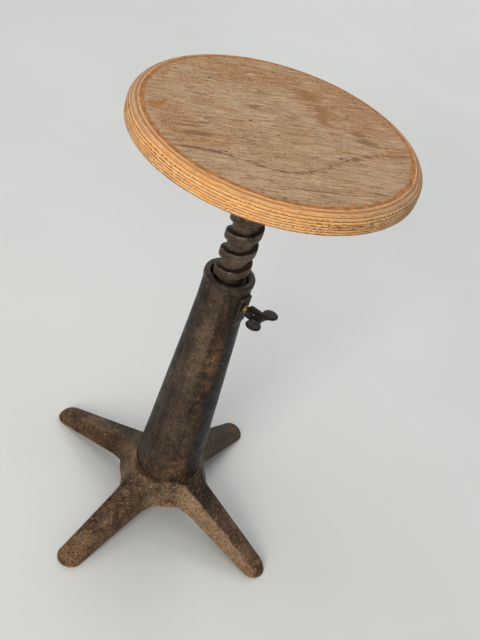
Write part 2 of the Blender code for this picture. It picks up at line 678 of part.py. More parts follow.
def make_wing_head(iron):
    start = WING_HUB_START
    end = start + WING_HUB_LENGTH
    profile = [(0.0, end + 0.0006), (WING_HUB_RADIUS * 0.6, end + 0.0004)]
    profile += [(WING_HUB_RADIUS - 0.0010, end - 0.0006), (WING_HUB_RADIUS, end - 0.0020)]
    profile += [(WING_HUB_RADIUS, start + 0.0008), (WING_HUB_RADIUS - 0.0008, start)]
    profile += [(0.0, start)]
    head = turned("wing_head", profile, iron, SMALL, towards(0.0, CLAMP_HEIGHT))
    join(head, wing_plate("far_wing", 1.0))
    join(head, wing_plate("near_wing", -1.0))
    drill(head, "stud_socket", CLAMP_STUD_RADIUS + GAP, 0.030, end - 0.0080,
          towards(0.0, CLAMP_HEIGHT))
    drill(head, "head_pin_hole", WING_PIN_RADIUS + GAP, -0.012, 0.012, wing_pin_frame(), 12)
    return head


def make_wing_pin(steel):
    half = WING_HUB_RADIUS - 0.0002
    profile = rod_profile(WING_PIN_RADIUS, -half, half)
    return turned("wing_pin", profile, steel, 12, wing_pin_frame())


def build():
    clear_scene()
    iron = material("base_iron", (0.085, 0.060, 0.045), 0.62, 0.55)
    column_iron = material("column_iron", (0.070, 0.050, 0.038), 0.48, 0.60)
    bush_iron = material("bush_iron", (0.065, 0.045, 0.035), 0.50, 0.60)
    screw_steel = material("screw_steel", (0.080, 0.060, 0.045), 0.45, 0.75)
    plain_steel = material("plain_steel", (0.16, 0.14, 0.12), 0.42, 0.90)
    brass = material("brass", (0.45, 0.30, 0.12), 0.40, 0.95)
    wing_iron = material("wing_iron", (0.060, 0.045, 0.035), 0.55, 0.55)
    plywood = material("plywood", (0.48, 0.34, 0.22), 0.55, 0.0)
    make_base(iron)
    make_column(column_iron)
    make_column_dowel(plain_steel)
    make_column_washer(plain_steel)
    make_column_nut(iron)
    make_thread_bush(bush_iron)
    make_set_screws(plain_steel)
    make_height_screw(screw_steel)
    make_stop_washer(plain_steel)
    make_stop_lock_washer(plain_steel)
    make_stop_screw(plain_steel)
    make_seat_flange(iron)
    make_flange_pin(plain_steel)
    make_seat_screws(plain_steel)
    make_seat_board(plywood)
    make_clamp_slug(brass)
    make_clamp_stud(brass)
    make_wing_head(wing_iron)
    make_wing_pin(plain_steel)


build()
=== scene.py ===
"""Adjustable swivel stool: fine surfaces, materials, light and camera over the shared frame."""

import math

import bmesh
import bpy
import numpy as np
from mathutils import Matrix, Vector


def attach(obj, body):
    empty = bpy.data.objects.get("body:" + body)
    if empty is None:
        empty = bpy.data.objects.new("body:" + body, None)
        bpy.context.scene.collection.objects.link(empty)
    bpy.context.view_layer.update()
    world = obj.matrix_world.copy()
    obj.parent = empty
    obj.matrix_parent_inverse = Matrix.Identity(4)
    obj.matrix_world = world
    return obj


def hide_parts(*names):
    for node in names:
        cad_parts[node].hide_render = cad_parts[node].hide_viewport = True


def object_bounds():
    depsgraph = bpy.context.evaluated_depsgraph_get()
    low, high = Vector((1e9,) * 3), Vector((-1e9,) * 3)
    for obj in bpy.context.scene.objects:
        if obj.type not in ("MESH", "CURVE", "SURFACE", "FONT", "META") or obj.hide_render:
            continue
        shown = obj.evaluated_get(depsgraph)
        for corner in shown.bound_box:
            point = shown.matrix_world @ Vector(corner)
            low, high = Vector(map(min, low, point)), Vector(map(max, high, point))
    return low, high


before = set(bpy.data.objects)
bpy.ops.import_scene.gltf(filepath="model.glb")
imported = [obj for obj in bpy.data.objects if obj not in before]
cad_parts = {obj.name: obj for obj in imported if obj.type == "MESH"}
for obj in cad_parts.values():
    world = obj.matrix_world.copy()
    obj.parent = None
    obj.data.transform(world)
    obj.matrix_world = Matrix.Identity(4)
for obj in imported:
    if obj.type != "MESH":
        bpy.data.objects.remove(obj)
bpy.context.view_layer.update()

# Driving dimensions, as in the CAD model, in metres
SEAT_RADIUS = 0.1645
SEAT_TOP = 0.6025
SEAT_THICKNESS = 0.0233
SEAT_FLAT_RADIUS = 0.1482
SEAT_EDGE_DROP = 0.0135
SEAT_LOWER_ROUND = 0.0015
SEAT_BOTTOM = SEAT_TOP - SEAT_THICKNESS
PLY = 0.00146                    # thickness of one ply
GLUE_DEPTH = 0.0048              # depth of the first strong glue line; the others are 2 plies apart
FACE_RIM = SEAT_FLAT_RADIUS + 0.0077

THREAD_PITCH = 0.0254
THREAD_CREST_RADIUS = 0.0215
THREAD_ROOT_RADIUS = 0.016
THREAD_CREST_WIDTH = 0.0112
THREAD_FLANK = 0.0015
THREAD_START_TURN = math.radians(27.0)
THREAD_FIRST_CREST = 0.2637      # height of the crest's middle where the thread starts
THREAD_TURNS = 11.0
SCREW_BOTTOM = 0.245
SCREW_NECK_TOP = 0.556
SPIGOT_RADIUS = 0.0125
SPIGOT_TOP = 0.5745

COLUMN_TOP = 0.39
COLUMN_TOP_RADIUS = 0.0305
COLUMN_FOOT_RADIUS = 0.044
COLUMN_SHOULDER = 0.0583
COLUMN_OUTLINE = ((COLUMN_SHOULDER, COLUMN_FOOT_RADIUS), (0.072, COLUMN_FOOT_RADIUS),
                  (0.096, 0.0434), (0.352, COLUMN_TOP_RADIUS), (0.4, COLUMN_TOP_RADIUS))
COLUMN_WALL = 0.0055
COLUMN_SPIGOT_RADIUS = 0.033
COLUMN_SPIGOT_BORE = 0.0275
COLUMN_SPIGOT_BOTTOM = 0.0325
BUSH_SEAT_RADIUS = 0.0262
BUSH_BOTTOM = 0.3345
BUSH_TOP = 0.4008
COLLAR_RADIUS = 0.0315
COLLAR_ROUND = 0.0034
MOUTH_RADIUS = 0.0236
MOUTH_DEPTH = 0.011
GAP = 0.0003
RUNNING_GAP = 0.0006
SOCKET_GAP = 0.0004
WELD = 2e-6                      # points of a thread closer than this are one
SHARP_ANGLE = math.radians(50.0)

LEG_REACH = 0.1938
LEG_TIP_HALF_WIDTH = 0.018
LEG_ROOT_HALF_WIDTH = 0.024
LEG_ROOT_REACH = 0.055
LEG_RIDGE_HEIGHT = 0.0832
LEG_SLOPE = 0.392
LEG_UNDER_HEIGHT = 0.0315
LEG_UNDER_SLOPE = 0.262
LEG_TOP_SHARE = 0.74
LEG_CROWN = 0.003
CHANNEL_START = 0.03
CHANNEL_END = 0.163
HUB_RIM = 0.07
HUB_FOOT = 0.037
HUB_WEB_BOTTOM = 0.05
HUB_FILLET = 0.014
HUB_SKIRT = (0.037, 0.039, 0.048, 0.06, 0.07), (0.0628, 0.0624, 0.056, 0.0507, 0.0475)
HUB_CAVITY = (0.036, 0.046, 0.05), (0.056, 0.05, 0.047)     # heights and radii
CASTING_WALL = 0.0065

CLAMP_HEIGHT = 0.3688
CLAMP_PITCH = 0.0015875
CLAMP_STUD_RADIUS = 0.0047
PAD_FACE = 0.0334
PAD_HALF_WIDTH = 0.0115
PAD_BOTTOM = 0.342
PAD_TOP = 0.385
PAD_CORNER = 0.0045
WING_HUB_RADIUS = 0.0082
WING_HUB_START = 0.0385
WING_HUB_LENGTH = 0.0205
WING_REACH = 0.0188
WING_RADIUS = 0.0096
WING_NECK_HALF_WIDTH = 0.0058
WING_THICKNESS = 0.0042
WING_TILT = math.radians(-4.0)
SET_SCREW_AZIMUTHS = (math.radians(100.0), math.radians(170.0))
SET_SCREW_HEIGHT = 0.37
SET_HOLE_RADIUS = 0.0033

FLANGE_RADIUS = 0.062
FLANGE_TOP = SEAT_BOTTOM - GAP
FLANGE_BOTTOM = FLANGE_TOP - 0.005
FLANGE_HUB_RADIUS = 0.0205
SEAT_SCREW_CIRCLE = 0.048
SCREWDRIVER_SLOT = (0.011, 0.001, 0.0022)
GRAIN_AZIMUTH = math.radians(49.0)

# Depths of relief on the surfaces
BASE_SWELL = 0.00022
BASE_PIT = 0.00042
COLUMN_SWELL = 0.0003
COLUMN_GRAIN = 0.0001
COLUMN_PIT = 0.0003
COLLAR_WEAR = 0.00024
SCREW_WEAR = 0.00016
SCREW_DENT = 0.0003
WING_SWELL = 0.00016
WING_PIT = 0.00016
FLANGE_SWELL = 0.00018
GLUE_GROOVE = 0.00016
PLY_STEP = 0.00013
PLY_GAP = 0.0011
EDGE_SINK = 0.0001
SEAT_DISH = 0.00022
SEAT_SWELL = 0.00018
VENEER_STEP = 0.00022


# ---- fields

SKEW = np.array(Matrix.Rotation(0.61, 3, Vector((0.3, 0.8, 0.5))))      # turns noise off the axes


def ease(low, high, value):
    share = np.clip((value - low) / (high - low), 0.0, 1.0)
    return share * share * (3.0 - 2.0 * share)


def soft_min(a, b, radius):
    share = np.clip(0.5 + 0.5 * (b - a) / radius, 0.0, 1.0)
    return b + (a - b) * share - radius * share * (1.0 - share)


def soft_max(a, b, radius):
    return -soft_min(-a, -b, radius)


def lattice(cell, seed):
    """A fixed random number from 0 to 1 for each whole-numbered lattice point."""
    x, y, z = (cell[:, axis].astype(np.uint32) for axis in range(3))
    mixed = x * np.uint32(374761393) ^ y * np.uint32(668265263) ^ z * np.uint32(2246822519)
    mixed = mixed + np.uint32(seed * 7919 + 13)
    mixed = (mixed ^ (mixed >> np.uint32(13))) * np.uint32(1274126177)
    return (mixed ^ (mixed >> np.uint32(16))) / 4294967295.0


def value_noise(points, size, seed):
    """Smooth noise from -1 to 1 with bumps of about that size."""
    place = points @ SKEW.T / size
    low = np.floor(place)
    part = place - low
    part = part * part * (3.0 - 2.0 * part)
    low = low.astype(np.int64)
    total = np.zeros(len(points))
    for corner in range(8):
        step = np.array([corner & 1, corner >> 1 & 1, corner >> 2])
        weight = np.prod(np.where(step, part, 1.0 - part), axis=1)
        total += weight * lattice(low + step, seed)
    return 2.0 * total - 1.0


def fractal(points, size, octaves, seed):
    total = np.zeros(len(points))
    for octave in range(octaves):
        total += value_noise(points, size / 2 ** octave, seed + octave) / 2 ** octave
    return total / (2.0 - 0.5 ** (octaves - 1))


# ---- meshes

NET_BLOCK = 24      # planes of a distance field that are worked out together
NET_STEPS = 3       # times that its points are moved onto the surface


def polar(radius, angles, height):
    """Points about Z, from numbers or arrays."""
    parts = radius * np.cos(angles), radius * np.sin(angles), height
    return np.stack(np.broadcast_arrays(*parts), -1).reshape(-1, 3)


def all_round(columns):
    return np.arange(columns) * math.tau / columns


def rings(profile, columns):
    """Radius and height arrays, with a row for each (radius, height) point of the profile."""
    return [np.repeat(part[:, None], columns, axis=1) for part in np.array(profile).T]


def grid_faces(rows, columns, wrap_rows):
    """Quads over a grid of points whose columns go all the way round."""
    down = np.arange(rows if wrap_rows else rows - 1)[:, None]
    along = np.arange(columns)[None, :]
    below = (down + 1) % rows
    after = (along + 1) % columns
    corners = [down * columns + along, down * columns + after]
    corners += [below * columns + after, below * columns + along]
    return np.stack(np.broadcast_arrays(*corners), -1).reshape(-1, 4)


def cap_faces(first, count, centre):
    ring = first + np.arange(count)
    return np.stack([np.full(count, centre), np.roll(ring, -1), ring], -1)


def linked(name, data):
    """A new object in the scene."""
    made = bpy.data.objects.new(name, data)
    bpy.context.scene.collection.objects.link(made)
    return made


def drawn(name, bm):
    """A new object in the scene from a bmesh."""
    mesh = bpy.data.meshes.new(name)
    bm.to_mesh(mesh)
    bm.free()
    return linked(name, mesh)


def build(name, points, *groups):
    """A closed mesh object from points and arrays of triangles or quads."""
    mesh = bpy.data.meshes.new(name)
    mesh.from_pydata(points.tolist(), [], [face for group in groups for face in group.tolist()])
    mesh.validate()
    bm = bmesh.new()
    bm.from_mesh(mesh)
    bmesh.ops.recalc_face_normals(bm, faces=bm.faces)
    bm.to_mesh(mesh)
    bm.free()
    mesh.shade_smooth()
    return linked(name, mesh)


def read(items, name, width, kind=np.float32):
    """A property of all the vertices or edges, in rows."""
    values = np.empty(len(items) * width, kind)
    items.foreach_get(name, values)
    return values.reshape(-1, width)


def marked(made, reach, **more):
    """Stores how much of an edge or a hollow each point is, and any other marks."""
    mesh = made.data
    count = len(mesh.vertices)
    points = read(mesh.vertices, "co", 3).astype(float)
    normals = read(mesh.vertices, "normal", 3)
    pairs = read(mesh.edges, "vertices", 2, np.int32)
    here, there = np.concatenate([pairs, pairs[:, ::-1]]).T
    ties = np.maximum(np.bincount(here, minlength=count), 1)

    def around(values):
        return np.bincount(here, weights=values[there], minlength=count) / ties

    mean = np.stack([around(points[:, axis]) for axis in range(3)], -1)
    apart = np.linalg.norm(points[here] - points[there], axis=1)
    length = np.bincount(here, weights=apart, minlength=count) / ties
    stands = np.einsum("ij,ij->i", points - mean, normals) / np.maximum(length, 1e-9)
    for _ in range(2):
        stands = 0.5 * stands + 0.5 * around(stands)
    marks = {"edge": np.clip(stands / reach, 0.0, 1.0),
             "hollow": np.clip(-stands / reach, 0.0, 1.0)}
    marks.update((name, field(*points.T, normals)) for name, field in more.items())
    for name, values in marks.items():
        layer = mesh.attributes.new(name, "FLOAT", "POINT")
        layer.data.foreach_set("value", np.ascontiguousarray(values, np.float32))
    return made


def shell(name, radius, height, angles):
    """A ring-shaped body turned about Z: radius and height are (rows, columns) arrays."""
    return build(name, polar(radius, angles, height), grid_faces(*radius.shape, True))


def gradient(distance, points, step):
    """Unit gradient of a distance field, and its value scaled to a true distance."""
    slope = np.empty_like(points)
    for axis in range(3):
        shift = np.zeros(3)
        shift[axis] = step
        slope[:, axis] = distance(points + shift) - distance(points - shift)
    size = np.maximum(np.linalg.norm(slope, axis=1), 1e-12)
    return slope / size[:, None], distance(points) * 2.0 * step / size


def surface_nets(distance, low, high, cell):
    """Points and quads where a distance field is zero, with the points settled onto it."""
    counts = np.ceil((np.array(high) - low) / cell).astype(int) + 1
    axes = [low[axis] + cell * np.arange(counts[axis]) for axis in range(3)]
    field = np.empty(counts)
    plane = np.stack(np.meshgrid(axes[1], axes[2], indexing="ij"), -1).reshape(-1, 2)
    for start in range(0, counts[0], NET_BLOCK):
        xs = axes[0][start:start + NET_BLOCK]
        points = np.empty((len(xs), len(plane), 3))
        points[..., 0] = xs[:, None]
        points[..., 1:] = plane
        values = distance(points.reshape(-1, 3))
        field[start:start + NET_BLOCK] = values.reshape(len(xs), counts[1], counts[2])
    cells = counts - 1
    size = int(np.prod(cells))
    total = np.zeros((size, 3))
    hits = np.zeros(size)
    crossings = []
    for axis in range(3):
        a, b = (np.take(field, np.arange(counts[axis] - 1) + step, axis) for step in (0, 1))
        others = [other for other in range(3) if other != axis]
        where = np.argwhere((a < 0.0) != (b < 0.0))
        inner = (where[:, others] > 0) & (where[:, others] < counts[others] - 1)
        where = where[inner.all(axis=1)]
        a, b = a[tuple(where.T)], b[tuple(where.T)]
        place = where.astype(float)
        place[:, axis] += a / (a - b)
        around = []
        for back in ((0, 0), (1, 0), (1, 1), (0, 1)):
            near = where.copy()
            near[:, others] -= back
            index = np.ravel_multi_index(tuple(near.T), tuple(cells))
            around.append(index)
            hits += np.bincount(index, minlength=size)
            for part in range(3):
                total[:, part] += np.bincount(index, weights=place[:, part], minlength=size)
        crossings.append((np.stack(around, -1), (a < 0.0) != (axis == 1)))
    used = np.flatnonzero(hits)
    number = np.zeros(size, np.int64)
    number[used] = np.arange(len(used))
    points = np.array(low) + cell * total[used] / hits[used, None]
    quads = []
    for corners, turned in crossings:
        corners = number[corners]
        quads.append(np.where(turned[:, None], corners, corners[:, ::-1]))
    for _ in range(NET_STEPS):
        slope, value = gradient(distance, points, cell * 0.25)
        points = points - slope * np.clip(value, -cell, cell)[:, None]
    return points, np.concatenate(quads)


def cast(name, distance, low, high, cell, step, relief, reach, **marks):
    """A casting from a distance field, its skin moved out by relief(points, slope)."""
    points, quads = surface_nets(distance, low, high, cell)
    slope, _ = gradient(distance, points, step)
    points = points + slope * relief(points, slope)[:, None]
    points[:, 2] = np.maximum(points[:, 2], 0.0)
    return marked(build(name, points, quads), reach, **marks)


def spun(name, profile, segments, place):
    """A solid turned about Z from (radius, height) points that start and end on the axis."""
    angles = all_round(segments)
    rows = [polar(r, angles, z) for r, z in profile[1:-1]]
    ends = [[0.0, 0.0, profile[0][1]], [0.0, 0.0, profile[-1][1]]]
    turn = np.array(place)
    points = np.concatenate(rows + [np.array(ends)]) @ turn[:3, :3].T + turn[:3, 3]
    count = len(rows) * segments
    return build(name, points, grid_faces(len(rows), segments, False),
                 cap_faces(0, segments, count), cap_faces(count - segments, segments, count + 1))


def rod(name, radius, low, high, segments, place):
    """A plain rod along the frame's Z, to cut a hole with."""
    return spun(name, [(0.0, high), (radius, high), (radius, low), (0.0, low)], segments, place)


def subtract(made, *tools):
    """Cuts closed tools out of a piece, and leaves plain geometry."""
    for tool in tools:
        step = made.modifiers.new(tool.name, "BOOLEAN")
        step.operation = "DIFFERENCE"
        step.object = tool
        step.solver = "EXACT"
    graph = bpy.context.evaluated_depsgraph_get()
    mesh = bpy.data.meshes.new_from_object(made.evaluated_get(graph))
    made.modifiers.clear()
    made.data = mesh
    mesh.shade_smooth()
    for tool in tools:
        bpy.data.objects.remove(tool, do_unlink=True)
    return made


def box(name, size, place):
    bm = bmesh.new()
    bmesh.ops.create_cube(bm, size=1.0, matrix=place @ Matrix.Diagonal((*size, 1.0)))
    return drawn(name, bm)


def level(azimuth, height):
    """A frame at the column's axis whose Z points out level at the azimuth."""
    turn = Matrix.Rotation(azimuth, 4, "Z") @ Matrix.Rotation(math.pi / 2.0, 4, "Y")
    return Matrix.Translation((0.0, 0.0, height)) @ turn


def finished(made, body, node, material):
    made.data.materials.clear()
    made.data.materials.append(material)
    made.data.set_sharp_from_angle(angle=SHARP_ANGLE)
    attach(made, body)
    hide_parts(node)


# ---- base

def leg_outline(reach, height):
    """Half-width of a leg there and at its foot, its top and its underside, at a distance out."""
    straight = LEG_REACH - LEG_TIP_HALF_WIDTH
    share = (np.minimum(reach, straight) - LEG_ROOT_REACH) / (straight - LEG_ROOT_REACH)
    foot = LEG_ROOT_HALF_WIDTH + (LEG_TIP_HALF_WIDTH - LEG_ROOT_HALF_WIDTH) * share
    high = LEG_RIDGE_HEIGHT - LEG_SLOPE * reach
    low = np.maximum(0.0, LEG_UNDER_HEIGHT - LEG_UNDER_SLOPE * (reach - LEG_ROOT_REACH))
    rise = np.clip((height - low) / np.maximum(high - low, 0.004), 0.0, 1.2)
    return foot * (1.0 - (1.0 - LEG_TOP_SHARE) * rise), foot, high, low


def base_distance(points):
    x, y, z = np.abs(points[:, 0]), np.abs(points[:, 1]), points[:, 2]
    reach, side = np.maximum(x, y), np.minimum(x, y)
    radius = np.hypot(x, y)
    half, foot, high, low = leg_outline(reach, z)
    past = np.maximum(reach - (LEG_REACH - LEG_TIP_HALF_WIDTH), 0.0)
    sides = (np.hypot(past, side) - half) * 0.97
    crown = LEG_CROWN * (1.0 - 0.8 * np.minimum(side / foot, 1.0) ** 2)
    leg = soft_max(sides, (z - high - crown) * 0.93, 0.0055)
    leg = soft_max(leg, low - z, 0.003)
    hub = soft_max((radius - np.interp(z, *HUB_SKIRT)) * 0.85, HUB_FOOT - z, 0.004)
    body = soft_min(leg, hub, HUB_FILLET)
    body = soft_max(body, z - HUB_RIM, 0.0022)
    channel = soft_max(side - (half - CASTING_WALL), z - (high - CASTING_WALL), 0.005)
    channel = soft_max(channel, reach - CHANNEL_END, 0.006)
    channel = np.maximum(channel, CHANNEL_START - reach)
    cavity = soft_max(radius - np.interp(z, *HUB_CAVITY), z - HUB_WEB_BOTTOM, 0.003)
    hollow = soft_min(channel, cavity, 0.006)
    body = soft_max(body, -hollow, 0.003)
    socket = np.maximum(radius - COLUMN_FOOT_RADIUS - SOCKET_GAP, COLUMN_SHOULDER - GAP - z)
    socket = np.minimum(socket, radius - COLUMN_SPIGOT_RADIUS - GAP)
    return np.maximum(body, -socket)


def make_base():
    def relief(p, slope):
        outside = ease(-0.3, 0.4, slope[:, 2]) + ease(0.3, 0.0, np.abs(slope[:, 2]))
        front = ease(0.045, 0.07, -p[:, 1])
        pits = ease(0.3, 0.62, value_noise(p, 0.0052, 21))
        pits += 0.6 * ease(0.35, 0.65, value_noise(p, 0.0034, 22))
        pitted = ease(0.1, 0.5, value_noise(p, 0.03, 23) + 0.8 * front)
        swell = BASE_SWELL * fractal(p, 0.016, 3, 3)
        return swell - BASE_PIT * pits * pitted * np.clip(outside, 0.0, 1.0)

    def rust(x, y, z, n):
        leg_front = ease(0.05, 0.085, -y)
        side_left = ease(0.05, 0.09, -x) * ease(-0.2, -0.8, n[:, 1])
        side_right = ease(0.05, 0.085, x) * ease(-0.3, -0.8, n[:, 1])
        tip = ease(0.135, 0.185, np.hypot(x, y))
        value = 0.12 * leg_front + 0.26 * side_left + 0.1 * side_right + 0.26 * tip
        return value + 0.25 * ease(0.0, -0.6, n[:, 2])

    # Painted highlight: lighter on the faces turned to -Y, on the right leg and by the hub, where
    # the light falls.
    def pale(x, y, z, n):
        side = ease(-0.25, -0.8, n[:, 1])
        root = ease(0.085, 0.055, np.hypot(x, y))
        return np.clip(side * (0.8 * ease(0.03, 0.07, x) + 0.35 * root), 0.0, 1.0)

    # Painted shade: darker on the back leg, on the left leg (most on its side facing -Y), near the
    # left leg's root, and on top of the right leg by the hub.
    def grease(x, y, z, n):
        back = ease(0.04, 0.075, y)
        left = ease(0.05, 0.09, -x)
        root = ease(0.03, 0.045, x) * ease(0.12, 0.075, x)
        side = ease(-0.2, -0.7, n[:, 1])
        corner = ease(-0.035, -0.05, x) * ease(-0.11, -0.08, x)
        ledge = root * ease(0.5, 0.8, n[:, 2])
        value = 0.35 * back + left * (0.1 + 0.35 * side) + 0.4 * corner + 0.55 * ledge
        return np.clip(value, 0.0, 1.0)

    return cast("base_casting", base_distance, (-0.1975, -0.1975, -0.0035),
                (0.1975, 0.1975, 0.0745), 0.00135, 0.0004, relief, 0.2,
                rust=rust, pale=pale, grease=grease)


# ---- column

def column_radius(height):
    return np.interp(height, *zip(*COLUMN_OUTLINE))


def make_column():
    pad_reach = 26.0
    angles = np.radians(np.concatenate([np.arange(-pad_reach, pad_reach, 0.55),
                                        np.arange(pad_reach, 360.0 - pad_reach, 1.5)]))
    heights = np.concatenate([
        COLUMN_TOP - np.array([0.0, 0.0002, 0.0006, 0.001]),
        np.arange(COLUMN_TOP - 0.0016, 0.334, -0.00065),
        np.arange(0.3335, 0.073, -0.0018),
        np.array([0.0722, 0.0705, 0.068, 0.064, COLUMN_SHOULDER + 0.0004, COLUMN_SHOULDER])])
    z, angle = np.meshgrid(heights, angles, indexing="ij")
    plain = column_radius(z) - 0.0008 * ease(COLUMN_TOP - 0.001, COLUMN_TOP, z) ** 2
    across = np.where(np.cos(angle) > 0.3, PAD_FACE * np.tan(np.clip(angle, -1.2, 1.2)), 1.0)
    stand = np.maximum(0.0, PAD_FACE / np.maximum(np.cos(angle), 0.3) - plain)
    stand = stand * (1.0 - 0.3 * ease(0.55, 1.0, np.abs(across) / PAD_HALF_WIDTH))
    over = np.maximum(np.abs(across) - (PAD_HALF_WIDTH - PAD_CORNER), 0.0)
    above = np.maximum(z - (PAD_TOP - PAD_CORNER), 0.0)
    window = ease(PAD_CORNER + 0.0006, PAD_CORNER - 0.001, np.hypot(over, above))
    window = window * ease(PAD_BOTTOM - 0.003, PAD_BOTTOM + 0.0085, z)
    radius = plain + stand * window
    skin = polar(radius, angle, z)
    rough = COLUMN_SWELL * fractal(skin, 0.034, 3, 40) + COLUMN_GRAIN * fractal(skin, 0.007, 2, 44)
    pits = ease(0.42, 0.7, value_noise(skin, 0.006, 46))
    rough -= COLUMN_PIT * pits * (0.35 + 0.65 * ease(0.24, 0.1, skin[:, 2]))
    keep = (1.0 - window) * ease(COLUMN_TOP, COLUMN_TOP - 0.004, z)
    keep = keep * ease(0.0715, 0.078, z)
    radius = radius + rough.reshape(radius.shape) * (0.15 + 0.85 * keep)
    inner = [(COLUMN_SPIGOT_RADIUS, COLUMN_SHOULDER), (COLUMN_SPIGOT_RADIUS, 0.0335),
             (COLUMN_SPIGOT_RADIUS - 0.001, COLUMN_SPIGOT_BOTTOM),
             (COLUMN_SPIGOT_BORE + 0.0008, COLUMN_SPIGOT_BOTTOM), (COLUMN_SPIGOT_BORE, 0.0333),
             (COLUMN_SPIGOT_BORE, 0.066)]
    inner += [(column_radius(h) - COLUMN_WALL, h) for h in (0.09, 0.13, 0.17, 0.21, 0.25, 0.29)]
    inner += [(BUSH_SEAT_RADIUS, 0.325), (BUSH_SEAT_RADIUS, COLUMN_TOP)]
    bore, depth = rings(inner, len(angles))
    made = shell("column_tube", np.concatenate([radius, bore]), np.concatenate([z, depth]), angles)
    tools = [rod("clamp_hole", CLAMP_STUD_RADIUS + RUNNING_GAP, 0.015, 0.05, 48,
                 level(0.0, CLAMP_HEIGHT))]
    tools += [rod(f"set_hole_{number}", SET_HOLE_RADIUS, 0.02, 0.04, 32,
                  level(azimuth, SET_SCREW_HEIGHT))
              for number, azimuth in enumerate(SET_SCREW_AZIMUTHS)]
    subtract(made, *tools)

    def rust(x, y, z, n):
        azimuth = np.arctan2(y, x)
        right = ease(-1.25, -0.75, azimuth) * ease(-0.1, -0.45, azimuth)
        band = ease(0.2, 0.26, z) * ease(0.34, 0.29, z)
        foot = ease(0.16, 0.08, z)
        return 0.16 * right * band + 0.14 * foot + 0.1 * right

    # Painted highlight: a lighter band down the front of the column, stronger between about 0.27
    # and 0.32 m up.
    def pale(x, y, z, n):
        azimuth = np.arctan2(y, x)
        middle = ease(-1.75, -1.35, azimuth) * ease(-0.85, -1.15, azimuth)
        band = ease(0.24, 0.27, z) * ease(0.37, 0.32, z)
        return middle * (0.2 + 0.3 * band)

    # Black paintwork left on, and painted shade: it covers the left and right flanks and the back
    # of the column, leaving the front clear.
    def paint(x, y, z, n):
        azimuth = np.arctan2(y, x)
        left = ease(-1.62, -2.25, azimuth) + ease(2.3, 2.9, azimuth)
        right = ease(-0.75, -0.2, azimuth) * ease(2.9, 2.3, azimuth)
        high = ease(0.22, 0.31, z)
        foot = ease(0.07, 0.09, z)
        return left * (0.5 + 0.3 * high) + right * (0.42 + 0.28 * foot)

    return marked(made, 0.2, rust=rust, pale=pale, paint=paint)


# ---- threads

def thread_offset(z, angle):
    """Height above the middle of the nearest crest of the height screw's thread."""
    rise = THREAD_PITCH * (angle - THREAD_START_TURN) / math.tau
    half = THREAD_PITCH / 2.0
    return (z - THREAD_FIRST_CREST - rise + half) % THREAD_PITCH - half


def make_thread_bush():
    columns = 168
    angles = all_round(columns)
    outer = [(COLLAR_RADIUS - 0.0062, BUSH_TOP - 0.0003), (COLLAR_RADIUS - 0.0048, BUSH_TOP)]
    for step in range(9):
        turn = math.pi / 2.0 * step / 8.0
        outer.append((COLLAR_RADIUS - COLLAR_ROUND + COLLAR_ROUND * math.sin(turn),
                      BUSH_TOP - COLLAR_ROUND + COLLAR_ROUND * math.cos(turn)))
    outer += [(COLLAR_RADIUS, COLUMN_TOP + 0.0034), (COLLAR_RADIUS - 0.0002, COLUMN_TOP + 0.002),
              (COLLAR_RADIUS - 0.0008, COLUMN_TOP + 0.001),
              (COLLAR_RADIUS - 0.0018, COLUMN_TOP + GAP),
              (BUSH_SEAT_RADIUS - GAP, COLUMN_TOP + GAP), (BUSH_SEAT_RADIUS - GAP, 0.37),
              (BUSH_SEAT_RADIUS - GAP, BUSH_BOTTOM + 0.001),
              (BUSH_SEAT_RADIUS - 0.0013, BUSH_BOTTOM),
              (THREAD_CREST_RADIUS + 0.002, BUSH_BOTTOM)]
    inside = np.arange(BUSH_BOTTOM, BUSH_TOP - MOUTH_DEPTH + 1e-5, 0.00055)
    z, angle = np.meshgrid(inside, angles, indexing="ij")
    edge = THREAD_CREST_WIDTH / 2.0 + RUNNING_GAP
    tooth = ease(edge, edge + THREAD_FLANK, np.abs(thread_offset(z, angle)))
    tapped = THREAD_CREST_RADIUS + RUNNING_GAP - (THREAD_CREST_RADIUS - THREAD_ROOT_RADIUS) * tooth
    mouth = [(MOUTH_RADIUS, BUSH_TOP - MOUTH_DEPTH), (MOUTH_RADIUS, BUSH_TOP - 0.006),
             (MOUTH_RADIUS + 0.0001, BUSH_TOP - 0.0026), (MOUTH_RADIUS + 0.0006, BUSH_TOP - 0.0013),
             (MOUTH_RADIUS + 0.0012, BUSH_TOP - 0.0006)]
    parts = zip(rings(outer, columns), (tapped, z), rings(mouth, columns))
    radius, height = (np.concatenate(part) for part in parts)
    skin = polar(radius, angles, height)
    worn = COLLAR_WEAR * fractal(skin, 0.012, 3, 60) * ease(0.3902, 0.393, skin[:, 2])
    worn = worn.reshape(radius.shape)
    height = height + 0.6 * worn * (height > COLUMN_TOP + 0.006)
    return marked(shell("bush", radius + worn, height, angles), 0.22)


def threaded_rod(section, pitch, first, start_turn, turns, ends, core, columns):
    """The skin, quads and angles of a right-handed thread on a core from ends[0] to ends[1]:
    its section is (height from the crest's middle, radius) points."""
    rise, reach = np.array(section).T
    low = int(math.floor((ends[0] - first) / pitch)) - 2
    high = int(math.ceil((ends[1] - first) / pitch)) + 2
    steps = np.arange(columns) / columns
    along = np.arange(low, high)[:, None, None] + steps
    z = first + pitch * along + rise[:, None]
    tooth = ease(0.0, 0.05, along) * ease(turns, turns - 0.05, along)
    radius = core + (reach[:, None] - core) * tooth
    radius = np.where((z > ends[0]) & (z < ends[1]), radius, core).reshape(-1, columns)
    z = np.clip(z, *ends).reshape(-1, columns)
    angles = start_turn + steps * math.tau
    index = np.arange(z.size).reshape(z.shape)
    seam = np.concatenate([index[len(section):, :1], np.full((len(section), 1), -1)])
    right = np.concatenate([index[:, 1:], seam], axis=1)
    quads = np.stack([index[:-1], right[:-1], right[1:], index[1:]], -1).reshape(-1, 4)
    quads = quads[(quads >= 0).all(axis=1)]
    return polar(radius, angles, z), quads, angles


